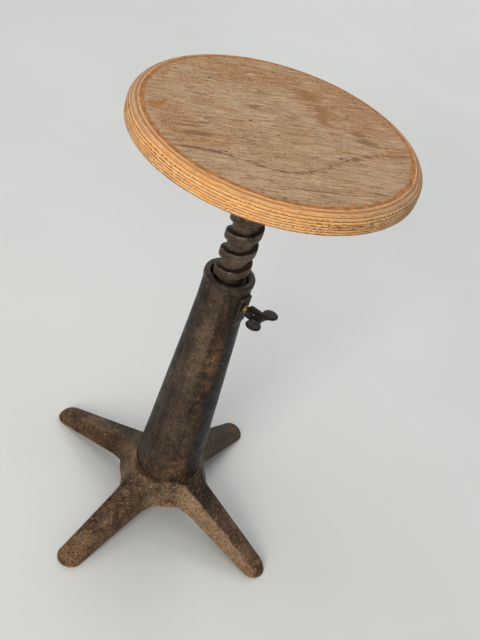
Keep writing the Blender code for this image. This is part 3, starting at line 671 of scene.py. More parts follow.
def welded(points, quads):
    """Joins points that coincide, and drops what has no area left."""
    _, first, index = np.unique(np.round(points / WELD).astype(np.int64), axis=0,
                                return_index=True, return_inverse=True)
    triangles = np.concatenate([quads[:, [0, 1, 2]], quads[:, [0, 2, 3]]])
    triangles = index.reshape(-1)[triangles]
    real = (triangles != np.roll(triangles, 1, axis=1)).all(axis=1)
    triangles = triangles[real]
    _, once = np.unique(np.sort(triangles, axis=1), axis=0, return_index=True)
    return points[first], triangles[np.sort(once)]


def closed_rod(name, skin, quads, angles, core, ends, tail=()):
    """Welds a rod's skin and closes its two ends, the upper one with a turned tail."""
    columns = len(angles)
    levels = [(core, ends[0]), (core, ends[1]), *tail]
    extra = [polar(r, angles, h) for r, h in levels]
    centres = np.array([[0.0, 0.0, ends[0]], [0.0, 0.0, levels[-1][1]]])
    points = np.concatenate([skin, *extra, centres])
    low = len(skin)
    centre = low + len(levels) * columns
    caps = np.concatenate([cap_faces(low, columns, centre),
                           cap_faces(centre - columns, columns, centre + 1)])
    groups = [quads, np.concatenate([caps, caps[:, 2:]], axis=1)]
    if tail:
        groups.insert(1, grid_faces(len(levels) - 1, columns, False) + low + columns)
    return build(name, *welded(points, np.concatenate(groups)))


def make_height_screw():
    half = THREAD_CREST_WIDTH / 2.0
    foot = half + THREAD_FLANK
    crest, root = THREAD_CREST_RADIUS, THREAD_ROOT_RADIUS
    side = [(0.0, crest), (half * 0.4, crest), (half - 0.0013, crest - 0.00005),
            (half - 0.0005, crest - 0.00035), (half + 0.0001, crest - 0.0011),
            (foot - 0.0006, root + 0.0011), (foot + 0.0001, root + 0.0003),
            (foot + 0.001, root), (THREAD_PITCH * 0.42, root)]
    section = [(-h, r) for h, r in reversed(side[1:])] + side
    ends = (SCREW_BOTTOM, SCREW_NECK_TOP)
    skin, quads, angles = threaded_rod(section, THREAD_PITCH, THREAD_FIRST_CREST,
                                       THREAD_START_TURN, THREAD_TURNS, ends, root, 128)
    out = skin * (1.0, 1.0, 0.0) / np.hypot(skin[:, 0], skin[:, 1])[:, None]
    free = (skin[:, 2] > ends[0] + 1e-6) & (skin[:, 2] < ends[1] - 1e-6)
    wear = SCREW_WEAR * fractal(skin, 0.01, 3, 70)
    wear = wear - SCREW_DENT * ease(0.45, 0.75, value_noise(skin, 0.004, 74))
    made = closed_rod("height_thread", skin + out * (wear * free)[:, None], quads, angles, root,
                      ends, [(SPIGOT_RADIUS, SCREW_NECK_TOP), (SPIGOT_RADIUS, SPIGOT_TOP)])
    # The thread's flanks that face up and down are darker: greasy ledges, and painted shade under
    # each crest.
    return marked(made, 0.22, grease=lambda x, y, z, n: 0.9 * ease(0.25, 0.7, np.abs(n[:, 2])))


def make_clamp_stud():
    crest, root = CLAMP_STUD_RADIUS, CLAMP_STUD_RADIUS - 0.00085
    ends = (0.0271, WING_HUB_START + WING_HUB_LENGTH - 0.0085)
    side = [(0.08, crest - 0.00006), (0.28, root + 0.0001), (0.4, root)]
    section = [(-h * CLAMP_PITCH, r) for h, r in reversed(side)] + [(0.0, crest)]
    section += [(h * CLAMP_PITCH, r) for h, r in side]
    turns = (ends[1] - ends[0]) / CLAMP_PITCH - 1.0
    skin, quads, angles = threaded_rod(section, CLAMP_PITCH, ends[0] + CLAMP_PITCH * 0.6, 0.0,
                                       turns, ends, root, 40)
    made = closed_rod("stud_thread", skin, quads, angles, root, ends)
    made.data.transform(level(0.0, CLAMP_HEIGHT))
    return marked(made, 0.3)


# ---- seat

def make_seat():
    columns = 720
    angles = all_round(columns)
    overhang = SEAT_RADIUS - SEAT_FLAT_RADIUS
    flat = np.concatenate([np.linspace(0.004, 0.126, 30), np.linspace(0.129, 0.1475, 24)])
    rows = [(r, SEAT_TOP) for r in flat]
    for turn in np.linspace(0.0, math.pi / 2.0, 40)[1:]:
        rows.append((SEAT_FLAT_RADIUS + overhang * math.sin(turn),
                     SEAT_TOP - SEAT_EDGE_DROP * (1.0 - math.cos(turn))))
    straight = np.arange(SEAT_TOP - SEAT_EDGE_DROP - 0.0003, SEAT_BOTTOM + 0.0016, -0.00034)
    rows += [(SEAT_RADIUS, h) for h in straight]
    for turn in np.linspace(0.0, math.pi / 2.0, 6)[1:]:
        rows.append((SEAT_RADIUS - SEAT_LOWER_ROUND * (1.0 - math.cos(turn)),
                     SEAT_BOTTOM + SEAT_LOWER_ROUND * (1.0 - math.sin(turn))))
    rows += [(r, SEAT_BOTTOM) for r in (0.155, *np.arange(0.14, 0.01, -0.02), 0.004)]
    radius, height = rings(rows, columns)
    skin = polar(radius, angles, height)
    depth = SEAT_TOP - skin[:, 2]
    r = np.hypot(skin[:, 0], skin[:, 1])
    plan = skin * (1.0, 1.0, 0.0)

    # Plies on the rounded edge: soft grooves at the glue lines, and gaps in two of the plies
    edge_band = ease(SEAT_FLAT_RADIUS + 0.0004, SEAT_FLAT_RADIUS + 0.004, r)
    edge_band *= ease(SEAT_BOTTOM + 0.0002, SEAT_BOTTOM + 0.0012, skin[:, 2])
    layer = (depth - GLUE_DEPTH) / PLY
    groove = np.exp(-(np.abs((layer / 2.0 + 0.5) % 1.0 - 0.5) / 0.1) ** 2)
    around = np.stack([skin[:, 0], skin[:, 1], np.floor(layer) * 0.05], -1)
    plies = value_noise(around, 0.011, 80) * (0.35 + 0.65 * (np.floor(layer) % 2))
    inward = edge_band * (GLUE_GROOVE * groove + PLY_STEP * (plies + 0.6)) + EDGE_SINK * edge_band
    sector = ease(0.34, 0.16, np.abs(np.arctan2(skin[:, 1], skin[:, 0]) + 0.46))
    gaps = ease(0.62, 0.7, value_noise(around, 0.004, 84) + 0.62 * sector)
    row = (np.abs(layer - 5.2) < 0.36) | (np.abs(layer - 7.2) < 0.36)
    sector = 0.15 + 0.85 * sector
    inward = inward + edge_band * PLY_GAP * gaps * row * sector

    # Face: slightly dished and uneven, and worn off outside a ragged rim
    upper = skin[:, 2] > SEAT_TOP - 0.0002
    dish = np.where(upper, -SEAT_DISH * ease(0.05, 0.0, np.abs(r - 0.09) - 0.04), 0.0)
    swell = SEAT_SWELL * value_noise(skin, 0.06, 88) - 0.00012
    rim = 0.1478 + 0.0008 * value_noise(plan, 0.009, 90)
    worn = -VENEER_STEP * ease(rim - 0.0002, rim + 0.0008, r) * (upper | (depth < 0.0006))
    skin = skin - plan / r[:, None] * inward[:, None]
    lowered = dish + swell * (r < 0.1475) + worn
    skin[:, 2] += np.where(skin[:, 2] > SEAT_BOTTOM + 0.004, lowered, 0.0)
    centres = np.array([[0.0, 0.0, SEAT_TOP - 0.00012], [0.0, 0.0, SEAT_BOTTOM]])
    count = len(rows) * columns
    made = build("seat_plywood", np.concatenate([skin, centres]),
                 grid_faces(len(rows), columns, False), cap_faces(0, columns, count),
                 cap_faces(count - columns, columns, count + 1))
    void = np.append(gaps * row * sector * edge_band, [0.0, 0.0])
    return marked(made, 0.25, void=lambda x, y, z, n: void)


# ---- wing screw and flange

def wing_distance(points):
    turn = np.array(Matrix.Rotation(-WING_TILT, 3, "X"))
    place = (points - np.array([0.0, 0.0, CLAMP_HEIGHT])) @ turn.T
    x, side, up = place[:, 0], np.abs(place[:, 1]), place[:, 2]
    middle = WING_HUB_START + WING_HUB_LENGTH / 2.0
    tube = np.hypot(place[:, 1], up)
    hub = soft_max(tube - WING_HUB_RADIUS, np.abs(x - middle) - WING_HUB_LENGTH / 2.0, 0.003)
    root = WING_HUB_START + WING_HUB_LENGTH - WING_NECK_HALF_WIDTH
    lean = (WING_NECK_HALF_WIDTH + 0.0006) / WING_REACH
    ear = np.hypot(x - root - lean * WING_REACH, side - WING_REACH) - WING_RADIUS
    share = np.clip(side / WING_REACH, 0.0, 1.0)
    neck = (np.abs(x - root - lean * side) - WING_NECK_HALF_WIDTH) * 0.94
    neck = np.maximum(neck, side - WING_REACH)
    plan = soft_min(ear, neck, 0.005)
    thick = WING_THICKNESS / 2.0 * (1.15 - 0.25 * share)
    wing = soft_max(plan, np.abs(up) - thick, 0.0026)
    head = soft_min(hub, wing, 0.005)
    blind = WING_HUB_START + WING_HUB_LENGTH - 0.008
    bore = soft_max(tube - CLAMP_STUD_RADIUS - GAP, x - blind, 0.001)
    return np.maximum(head, -bore)


def make_wing_head():
    half = WING_REACH + WING_RADIUS + 0.002
    low = (WING_HUB_START - 0.002, -half, CLAMP_HEIGHT - 0.0115)
    high = (WING_HUB_START + WING_HUB_LENGTH + 0.0135, half, CLAMP_HEIGHT + 0.0115)

    def relief(p, slope):
        pits = ease(0.4, 0.7, value_noise(p, 0.0026, 104))
        return WING_SWELL * fractal(p, 0.006, 3, 100) - WING_PIT * pits

    return cast("wing_casting", wing_distance, low, high, 0.00052, 0.0002, relief, 0.18)


def flange_distance(points):
    x, y, z = np.abs(points[:, 0]), np.abs(points[:, 1]), points[:, 2]
    out, side = np.maximum(x, y), np.minimum(x, y)
    radius = np.hypot(x, y)
    low = SCREW_NECK_TOP + GAP
    plate = soft_max(radius - FLANGE_RADIUS, FLANGE_BOTTOM - z, 0.0016)
    hub = soft_max(radius - FLANGE_HUB_RADIUS, low - z, 0.0014)
    slope = (FLANGE_BOTTOM - 0.0015 - (low + 0.004)) / (0.057 - 0.0195)
    under = (low + 0.004 + slope * (out - 0.0195) - z) * 0.93
    rib = soft_max(soft_max(side - 0.0022, under, 0.0016), out - 0.0575, 0.002)
    body = soft_min(soft_min(plate, hub, 0.006), rib, 0.0035)
    body = np.maximum(body, z - FLANGE_TOP)
    offset = SEAT_SCREW_CIRCLE * math.sqrt(0.5)
    hole = np.hypot(x - offset, y - offset)
    seat = np.maximum(0.0025, 0.0047 - np.maximum(z - FLANGE_BOTTOM - 0.0001, 0.0))
    body = np.maximum(body, seat - hole)
    return np.maximum(body, SPIGOT_RADIUS + GAP - radius)


def make_flange():
    half = FLANGE_RADIUS + 0.003

    def relief(p, slope):
        free = ease(FLANGE_TOP, FLANGE_TOP - 0.002, p[:, 2])
        return FLANGE_SWELL * fractal(p, 0.011, 3, 110) * free

    return cast("flange_casting", flange_distance, (-half, -half, SCREW_NECK_TOP - 0.002),
                (half, half, FLANGE_TOP + 0.003), 0.00095, 0.0003, relief, 0.2)


def make_wood_screw(number):
    angle = math.radians(45.0) + math.tau * number / 4
    offset = Matrix.Translation((SEAT_SCREW_CIRCLE * math.cos(angle),
                                 SEAT_SCREW_CIRCLE * math.sin(angle), 0.0))
    low = FLANGE_BOTTOM
    profile = [(0.0, FLANGE_TOP + 0.0165), (0.0006, FLANGE_TOP + 0.016),
               (0.0021, FLANGE_TOP + 0.0125), (0.0021, low + 0.0026), (0.0041, low + 0.0004),
               (0.0042, low + 0.0002), (0.004, low), (0.0, low - 0.0001)]
    made = spun(f"wood_screw_{number + 1}", profile, 40, offset)
    slot_turn = Matrix.Rotation(0.7 + 1.9 * number, 4, "Z")
    place = offset @ Matrix.Translation((0.0, 0.0, low)) @ slot_turn
    return subtract(made, box("slot", SCREWDRIVER_SLOT, place))


# ---- materials

MIX_FACTOR, MIX_FIRST, MIX_SECOND, MIX_RESULT = 0, 6, 7, 2      # the Mix node's colour sockets
PATCH_OUTSIDE, PATCH_INSIDE = 1.35, 0.65                        # a soft border round each patch

RUST = (0.17, 0.085, 0.038)
LIGHT_FLECK = (0.42, 0.36, 0.29)
# Near-black tones of old paintwork, which also serve as painted shade on the column's flanks and
# back.
BLACK_PAINT_AND_SHADE = (0.004, 0.004, 0.005)
WORN_PAINT_AND_SHADE = (0.02, 0.019, 0.019)

# Patches of the seat's figure, in metres along and across its grain: centre, radii and turn
REDDISH = (((0.105, 0.06), (0.07, 0.052), -0.3), ((-0.01, 0.108), (0.06, 0.026)),
           ((-0.118, -0.02), (0.022, 0.03)), ((-0.095, -0.048), (0.03, 0.018)))
TAN = (((-0.076, 0.032), (0.016, 0.007)), ((-0.06, 0.018), (0.013, 0.005)),
       ((-0.006, 0.122), (0.024, 0.009)), ((0.02, 0.104), (0.03, 0.008)),
       ((0.048, 0.088), (0.017, 0.006)), ((-0.04, 0.094), (0.022, 0.006)),
       ((-0.088, 0.072), (0.016, 0.006)), ((0.054, 0.118), (0.018, 0.005)))
BROWN = (((0.05, 0.078), (0.013, 0.013), 0.3), ((0.06, 0.045), (0.007, 0.017)),
         ((0.057, 0.022), (0.009, 0.008)), ((0.073, 0.013), (0.016, 0.0022)),
         ((0.124, -0.015), (0.026, 0.002), 0.1))
DARK_BROWN = (((0.092, 0.006), (0.01, 0.0065)), ((0.099, -0.01), (0.011, 0.007)),
              ((-0.108, -0.028), (0.014, 0.0022)), ((-0.091, -0.019), (0.011, 0.002), 0.5),
              ((-0.078, -0.008), (0.009, 0.002), 0.5), ((-0.098, -0.042), (0.016, 0.0045)),
              ((-0.108, -0.072), (0.016, 0.0016)), ((0.008, -0.122), (0.03, 0.0016)),
              ((0.074, -0.048), (0.014, 0.003), 0.5), ((-0.022, 0.033), (0.009, 0.0045)),
              ((0.004, 0.014), (0.008, 0.0018), 0.9), ((0.014, 0.024), (0.008, 0.0018), 0.9))
ORANGE = (((-0.137, 0.006), (0.008, 0.0065)), ((-0.127, 0.013), (0.008, 0.0028), 0.9),
          ((-0.117, 0.077), (0.004, 0.003)), ((0.063, -0.002), (0.007, 0.0022)),
          ((0.068, -0.038), (0.008, 0.0022)), ((0.04, -0.046), (0.008, 0.0014)),
          ((0.128, -0.022), (0.012, 0.0022)))


class Signal:
    """A node's output that takes arithmetic, so that a formula adds its own nodes."""

    def __init__(self, finish, socket):
        self.finish = finish
        self.socket = socket

    def __rsub__(self, other):
        return self.finish.math("SUBTRACT", other, self)

    def __abs__(self):
        return self.finish.math("ABSOLUTE", self)

    def span(self, low, high, to_low=0.0, to_high=1.0):
        """Eases from to_low to to_high as this signal goes from low to high."""
        inputs = {"Value": self, "From Min": low, "From Max": high, "To Min": to_low,
                  "To Max": to_high}
        return self.finish.node("ShaderNodeMapRange", inputs, "Result",
                                interpolation_type="SMOOTHSTEP")


for method, operation in (("__add__", "ADD"), ("__sub__", "SUBTRACT"), ("__mul__", "MULTIPLY"),
                          ("__truediv__", "DIVIDE")):
    setattr(Signal, method,
            lambda self, other, kind=operation: self.finish.math(kind, self, other))


class Finish:
    """Builds a material's nodes from short calls."""

    def __init__(self, name, metallic=0.0, specular=0.5):
        self.material = bpy.data.materials.new(name)
        self.material.use_nodes = True
        self.tree = self.material.node_tree
        self.shader = self.tree.nodes["Principled BSDF"]
        self.put(self.shader.inputs["Metallic"], metallic)
        self.put(self.shader.inputs["Specular IOR Level"], specular)
        self.place = self.node("ShaderNodeTexCoord", {}, "Object")

    def put(self, socket, value):
        if isinstance(value, Signal):
            self.tree.links.new(value.socket, socket)
        else:
            socket.default_value = (*value, 1.0) if socket.type == "RGBA" else value

    def node(self, kind, inputs, output=0, **settings):
        """Adds a node with those settings and inputs, and gives one of its outputs."""
        made = self.tree.nodes.new(kind)
        for name, value in settings.items():
            setattr(made, name, value)
        for key, value in inputs.items():
            self.put(made.inputs[key], value)
        return Signal(self, made.outputs[output])

    def math(self, kind, *values):
        return self.node("ShaderNodeMath", dict(enumerate(values)), operation=kind)

    def vector(self, *values):
        return self.node("ShaderNodeCombineXYZ", dict(enumerate(values)))

    def axes(self, where):
        outputs = self.node("ShaderNodeSeparateXYZ", {0: where}).socket.node.outputs
        return [Signal(self, socket) for socket in outputs]

    def noise(self, scale, detail=4.0, roughness=0.55, distortion=0.0, where=None):
        inputs = {"Vector": where or self.place, "Scale": scale, "Detail": detail,
                  "Roughness": roughness, "Distortion": distortion}
        return self.node("ShaderNodeTexNoise", inputs, "Fac")

    def noise_at(self, x, y, z, detail, roughness=0.6):
        """Noise over coordinates that are already scaled."""
        return self.noise(1.0, detail, roughness, where=self.vector(x, y, z))

    def cells(self, scale, where=None):
        inputs = {"Vector": where or self.place, "Scale": scale}
        return self.node("ShaderNodeTexVoronoi", inputs, "Distance")

    def mapped(self, turn=0.0, scale=(1.0, 1.0, 1.0)):
        """Object coordinates turned about Z, or scaled."""
        inputs = {"Vector": self.place, "Rotation": (0.0, 0.0, turn), "Scale": scale}
        return self.node("ShaderNodeMapping", inputs)

    def ramp(self, factor, *stops):
        made = self.node("ShaderNodeValToRGB", {"Fac": factor}, "Color")
        band = made.socket.node.color_ramp
        while len(band.elements) < len(stops):
            band.elements.new(0.5)
        for element, (position, colour) in zip(band.elements, stops):
            element.position = position
            element.color = (*colour, 1.0)
        return made

    def mix(self, factor, first, second):
        inputs = {MIX_FACTOR: factor, MIX_FIRST: first, MIX_SECOND: second}
        return self.node("ShaderNodeMix", inputs, MIX_RESULT, data_type="RGBA")

    def coats(self, colour, *coats):
        """Mixes tones in over a colour in turn, each by its own share."""
        for share, tone in coats:
            colour = self.mix(share, colour, tone)
        return colour

    def patches(self, colour, tone, strength, shapes, where):
        """Mixes a tone in over soft-edged ellipses."""
        total = None
        for centre, radii, *turn in shapes:
            inputs = {"Vector": where, "Location": (*centre, 0.0),
                      "Rotation": (0.0, 0.0, turn[0] if turn else 0.0), "Scale": (*radii, 1.0)}
            near = self.node("ShaderNodeMapping", inputs, vector_type="TEXTURE")
            one = self.node("ShaderNodeVectorMath", {0: near}, "Value", operation="LENGTH")
            one = one.span(PATCH_OUTSIDE, PATCH_INSIDE)
            total = one if total is None else self.math("MAXIMUM", total, one)
        return self.mix(total * strength, colour, tone)

    def mark(self, name):
        return self.node("ShaderNodeAttribute", {}, "Fac", attribute_name=name)

    def bump(self, height, strength, distance, under=None):
        inputs = {"Strength": strength, "Distance": distance, "Height": height}
        if under:
            inputs["Normal"] = under
        return self.node("ShaderNodeBump", inputs, "Normal")

    def done(self, colour, roughness, normal):
        self.put(self.shader.inputs["Base Color"], colour)
        self.put(self.shader.inputs["Roughness"], roughness)
        self.put(self.shader.inputs["Normal"], normal)
        return self.material


def shade(colour, share):
    return tuple(min(1.0, share * c) for c in colour)


def iron(name, dark, mid, light, rough=(0.38, 0.56), rusting=0.0, grain=1.0, metallic=0.0,
         streaks=False, flecked=0.66):
    """Old cast iron: a dark patina, rust stains, rubbed edges and darker hollows, with painted
    highlights and painted shade where the pieces' marks ask for them.
    """
    f = Finish(name, metallic=metallic, specular=0.14)
    broad = f.noise(20.0, 5.0, 0.62)
    patch = f.noise(75.0, 5.0, 0.68, distortion=0.5)
    speckle = f.noise(300.0, 3.0, 0.72)
    grit = speckle * 0.55 + f.noise(640.0, 1.0, 0.7) * 0.45
    colour = f.ramp(broad * 0.6 + patch * 0.4, (0.38, dark), (0.5, mid), (0.62, light))
    if streaks:
        long = f.noise(1.0, 5.0, 0.6, where=f.mapped(scale=(300.0, 300.0, 22.0)))
        colour = f.coats(colour, (long.span(0.5, 0.66) * 0.35, light),
                         (long.span(0.48, 0.34) * 0.45, dark))
    # The pale mark is a painted highlight: it mixes in a lighter tone.
    pale = f.mark("pale") * patch.span(0.3, 0.52, 0.55, 0.95)
    painted_highlight_tone = f.ramp(speckle, (0.38, shade(light, 1.3)), (0.6, shade(light, 2.9)))
    stain = (f.mark("rust") + (patch * 1.1 + (rusting - 0.55))).span(0.08, 0.42)
    rusty = f.ramp(grit, (0.4, shade(RUST, 0.35)), (0.52, RUST), (0.66, shade(RUST, 2.0)))
    pits = grit.span(0.46, 0.35, 0.0, 0.75 * grain) * (1.0 - pale * 0.8)
    # Old black paintwork, which on the column's flanks and back is painted shade.
    paint_and_shade_share = f.mark("paint") * 0.45 + (patch - 0.5)
    painted = paint_and_shade_share.span(0.2, 0.29) * f.mark("paint").span(0.0, 0.1)
    rubbed = f.mark("edge").span(0.2, 0.8) * patch.span(0.38, 0.58)
    flecks = f.cells(260.0).span(0.17, 0.1) * f.noise(85.0, 0.0).span(flecked, flecked + 0.04)
    # Painted shade darkens the pieces where they mark it, with greasy ledges on the screw as well.
    colour = f.coats(colour, (pale, painted_highlight_tone), (stain * 0.75, rusty),
                     (grit.span(0.54, 0.64, 0.0, 0.8 * grain), shade(light, 2.2)),
                     (pits, shade(dark, 0.7)), (f.mark("grease") * 0.88, shade(dark, 0.35)),
                     (painted * 0.85, f.ramp(grit, (0.4, BLACK_PAINT_AND_SHADE), (0.62, WORN_PAINT_AND_SHADE))),
                     (f.mark("hollow").span(0.1, 0.75) * 0.75, shade(dark, 0.45)),
                     (rubbed * 0.7, shade(light, 2.2)), (flecks * 0.85, LIGHT_FLECK))
    roughness = (patch + speckle * 0.35).span(0.5, 0.88, *rough) + stain * 0.18
    normal = f.bump(grit, 0.6 * grain, 0.0011)
    normal = f.bump(f.noise(130.0, 3.0, 0.5), 0.4 * grain, 0.0012, normal)
    return f.done(colour, roughness, normal)


def steel(name, bright, dull, rough=(0.28, 0.5)):
    f = Finish(name, metallic=0.9)
    patch = f.noise(160.0, 5.0, 0.62)
    speckle = f.noise(700.0, 3.0, 0.6)
    colour = f.ramp(patch, (0.36, dull), (0.6, bright))
    colour = f.coats(colour, (speckle.span(0.6, 0.74, 0.0, 0.6), shade(dull, 0.35)),
                     (f.mark("hollow").span(0.1, 0.7) * 0.8, shade(dull, 0.3)))
    return f.done(colour, patch.span(0.35, 0.65, *rough), f.bump(speckle, 0.35, 0.0002))


def veneer(f):
    """The seat's worn face: its colour, the height of its grain, and noise for torn borders."""
    along, across, _ = f.axes(f.mapped(turn=-GRAIN_AZIMUTH))
    sway = f.noise_at(along * 11.0, across * 17.0, 0.0, 2.0, 0.5) * 0.01 + across

    def streaks(a, b, seed, detail=2.0):
        return f.noise_at(along * a, sway * b, seed, detail)

    jag = streaks(95.0, 190.0, 2.0)
    u = streaks(20.0, 330.0, 1.0) * 0.05 + (along - 0.025)
    v = jag * 0.007 + (across - 0.0035)
    place = f.vector(u, v, 0.0)

    cloud = f.noise(13.0, 4.0, 0.6)
    colour = f.ramp(cloud * 0.55 + streaks(9.0, 75.0, 3.0, 3.0) * 0.45,
                    (0.38, (0.27, 0.146, 0.068)), (0.48, (0.33, 0.203, 0.11)),
                    (0.6, (0.38, 0.255, 0.155)))
    colour = f.patches(colour, (0.3, 0.138, 0.056), 0.85, REDDISH, place)
    colour = f.patches(colour, (0.27, 0.11, 0.034), 0.62, TAN, place)

    ridges = streaks(42.0, 330.0, 4.0)
    furrows = streaks(30.0, 290.0, 5.0, 3.0).span(0.52, 0.34, 0.0, 0.72)
    pores = streaks(95.0, 520.0, 6.0, 1.0).span(0.4, 0.33)
    busy = f.noise(24.0, 2.0).span(0.36, 0.6, 0.55, 1.0)
    colour = f.coats(colour, (ridges.span(0.5, 0.66, 0.0, 0.7), (0.525, 0.342, 0.186)),
                     (furrows, (0.174, 0.084, 0.035)),
                     (pores * busy * 0.85, (0.092, 0.042, 0.018)),
                     (f.noise(620.0, 1.0).span(0.46, 0.66, 0.0, 0.38), (0.57, 0.385, 0.22)))

    # The long dark arch of the figure, wider to the right of its middle than to the left
    middle = u + 0.016
    right = f.math("GREATER_THAN", middle, 0.0)
    share = middle / (right * 0.033 + 0.052)
    bell = f.math("EXPONENT", share * share * -1.0)
    arch = (right * 0.043 - 0.07) - bell * (right * 0.043 + 0.024)
    off = abs(v - arch)
    line = off.span(0.0016, 0.0008) * along.span(-0.135, -0.12)
    line = line * cloud.span(0.28, 0.42, 0.6, 0.92)
    halo = off.span(0.0055, 0.001) * along.span(0.03, 0.06)
    colour = f.coats(colour, (line, (0.165, 0.072, 0.032)), (halo * 0.5, (0.27, 0.109, 0.042)))
    colour = f.patches(colour, (0.245, 0.104, 0.036), 0.72, BROWN, place)
    colour = f.patches(colour, (0.165, 0.08, 0.038), 0.72, DARK_BROWN, place)
    stray = f.vector(jag * 0.007 + (along - 0.0035), v, 0.0)
    colour = f.patches(colour, (0.295, 0.121, 0.029), 0.8, ORANGE, stray)

    pinholes = f.cells(88.0, where=f.vector(along * 0.6, across, 0.0)).span(0.16, 0.09)
    rare = f.noise(47.0, 0.0).span(0.56, 0.6) * 0.85
    colour = f.mix(pinholes * rare, colour, (0.052, 0.027, 0.014))
    return colour, ridges * 0.7 - pores * 0.5, streaks(48.0, 230.0, 7.0, 3.0)


def plywood():
    """Worn plywood: a grey-tan face veneer, and the plies that its rounded edge cuts."""
    f = Finish("worn_plywood", specular=0.12)
    x, y, z = f.axes(f.place)
    radius = f.math("SQRT", x * x + y * y)
    depth = SEAT_TOP - z
    face, height, torn = veneer(f)

    # Edge: pairs of plies by depth, one along the grain and one across it
    azimuth = f.math("ARCTAN2", y, x)
    length = azimuth * (1000.0 * SEAT_RADIUS)      # millimetres around
    warp = f.noise(38.0, 3.0, 0.6) * 0.0012 + (depth - 0.0006)
    pair = (warp - GLUE_DEPTH) / (2.0 * PLY)
    number = f.math("FLOOR", pair)
    inside = pair - number

    def around(stretch, more, seed, detail=1.0):
        return f.noise_at(length * stretch, number * more, seed, detail)

    fibre = f.noise_at(length * 0.11, depth * 900.0, 4.0, 2.0)
    edge = f.ramp(around(0.02, 3.7, 2.0) * 0.5 + fibre * 0.5, (0.36, (0.345, 0.158, 0.06)),
                  (0.48, (0.475, 0.255, 0.113)), (0.62, (0.61, 0.38, 0.2)))
    steep = depth.span(0.003, 0.0075)
    front = abs(azimuth + 1.25).span(1.3, 0.4)
    stain = f.noise_at(length * 0.045, depth * 260.0, 12.0, 3.0).span(0.36, 0.56, 0.25, 0.88)
    # A painted highlight: light streaks along the fibres near the top of the edge, on its front.
    painted_gleam = front * depth.span(0.006, 0.003) * fibre.span(0.56, 0.66, 0.0, 0.6)
    pinkish = (1.0 - steep) * around(0.06, 0.0, 14.0, 3.0).span(0.34, 0.6, 0.45, 0.9)
    pale = inside.span(0.1, 0.2) * inside.span(0.56, 0.44) * (steep * 0.65 + 0.2)
    pale = pale * around(0.05, 2.9, 8.0, 3.0).span(0.36, 0.54, 0.25, 1.0)
    crosswise = inside.span(0.52, 0.6) * steep
    crosswise = crosswise * around(0.016, 0.0, 22.0).span(0.4, 0.62, 0.2, 0.9)
    ends = f.ramp(around(0.3, 7.3, 6.0, 0.0), (0.42, (0.301, 0.117, 0.03)),
                  (0.5, (0.511, 0.234, 0.074)), (0.57, (0.73, 0.437, 0.202)))
    glue = abs(f.math("FRACT", pair + 0.5) - 0.5).span(0.17, 0.07) * (steep * 0.45 + 0.45)
    glue = glue * around(0.11, 5.1, 9.0).span(0.34, 0.48, 0.6, 1.0)
    second = abs(inside - 0.56).span(0.09, 0.03)
    second = second * around(0.1, 4.3, 11.0).span(0.44, 0.58, 0.0, 0.75)
    specks = f.cells(120.0).span(0.14, 0.08) * f.noise(90.0, 0.0).span(0.54, 0.6)
    # The void mark colours the gaps in the plies near black: painted shade inside the gaps.
    edge = f.coats(edge, (front * stain, (0.74, 0.33, 0.078)), (painted_gleam, (0.82, 0.56, 0.32)),
                   (pinkish * (1.0 - front * 0.6), (0.42, 0.25, 0.148)),
                   (pale, (0.7, 0.455, 0.24)), (crosswise, ends),
                   (glue, (0.142, 0.05, 0.015)), (second, (0.199, 0.077, 0.023)),
                   (specks * 0.8, (0.085, 0.035, 0.015)), (f.mark("void"), (0.033, 0.014, 0.006)))

    # The face stops at a jagged brown ring, with a broken pale line outside it
    wave = f.noise_at(length * 0.02, 3.0, 0.0, 1.0, 0.5)
    chip = f.noise(115.0, 3.0, 0.6)
    rim = chip * 0.005 + (torn * 0.007 + (wave * 0.005 + radius))
    shallow = depth.span(0.0042, 0.0034)
    outer = wave * 0.002 + radius
    cream = outer.span(0.1532, 0.1537) * outer.span(0.1552, 0.1547) * shallow
    cream = cream * around(0.1, 0.0, 20.0, 2.0).span(0.42, 0.56, 0.05, 0.6)
    thin = outer.span(0.1552, 0.1556) * outer.span(0.1568, 0.1564) * shallow
    ring = f.mix(chip.span(0.4, 0.6), (0.262, 0.108, 0.032), (0.37, 0.165, 0.055))
    upper = rim.span(FACE_RIM, FACE_RIM - 0.0003) * depth.span(0.0015, 0.001)
    under = depth.span(SEAT_THICKNESS - 0.001, SEAT_THICKNESS - 0.0004)
    back = f.ramp(torn * 0.5 + height * 0.7, (0.4, (0.215, 0.115, 0.056)),
                  (0.5, (0.3, 0.175, 0.095)), (0.6, (0.385, 0.242, 0.142)))
    colour = f.coats(edge, (cream, (0.638, 0.375, 0.184)), (thin * 0.75, (0.301, 0.117, 0.032)),
                     (outer.span(0.1535, 0.153) * shallow, ring), (upper, face), (under, back))
    return f.done(colour, height.span(0.0, 0.6, 0.62, 0.78), f.bump(height, 0.35, 0.0004))


# ---- assembly

FLOOR_HALF_SIZE = 9.0
FLOOR_GAP = 0.0002               # keeps the floor just clear of the feet
WORLD_COLOUR = (0.94, 0.97, 1.0, 1.0)
WORLD_STRENGTH = 0.42
CAMERA_LENS, CAMERA_SENSOR = 55.456, 36.0        # millimetres
CAMERA_PLACE = (0.43394, -0.85457, 1.0722)
CAMERA_YAW, CAMERA_PITCH, CAMERA_ROLL = 0.43919, 0.6533, 0.3452


def dress(node, material):
    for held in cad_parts[node].material_slots:
        held.material = material


def light(name, place, towards, size, power, colour):
    lamp = bpy.data.lights.new(name, "AREA")
    lamp.shape = "RECTANGLE"
    lamp.size, lamp.size_y = size
    lamp.energy = power
    lamp.color = colour
    made = linked(name, lamp)
    made.location = place
    aim = Vector(towards) - Vector(place)
    made.rotation_euler = aim.to_track_quat("-Z", "Y").to_euler()


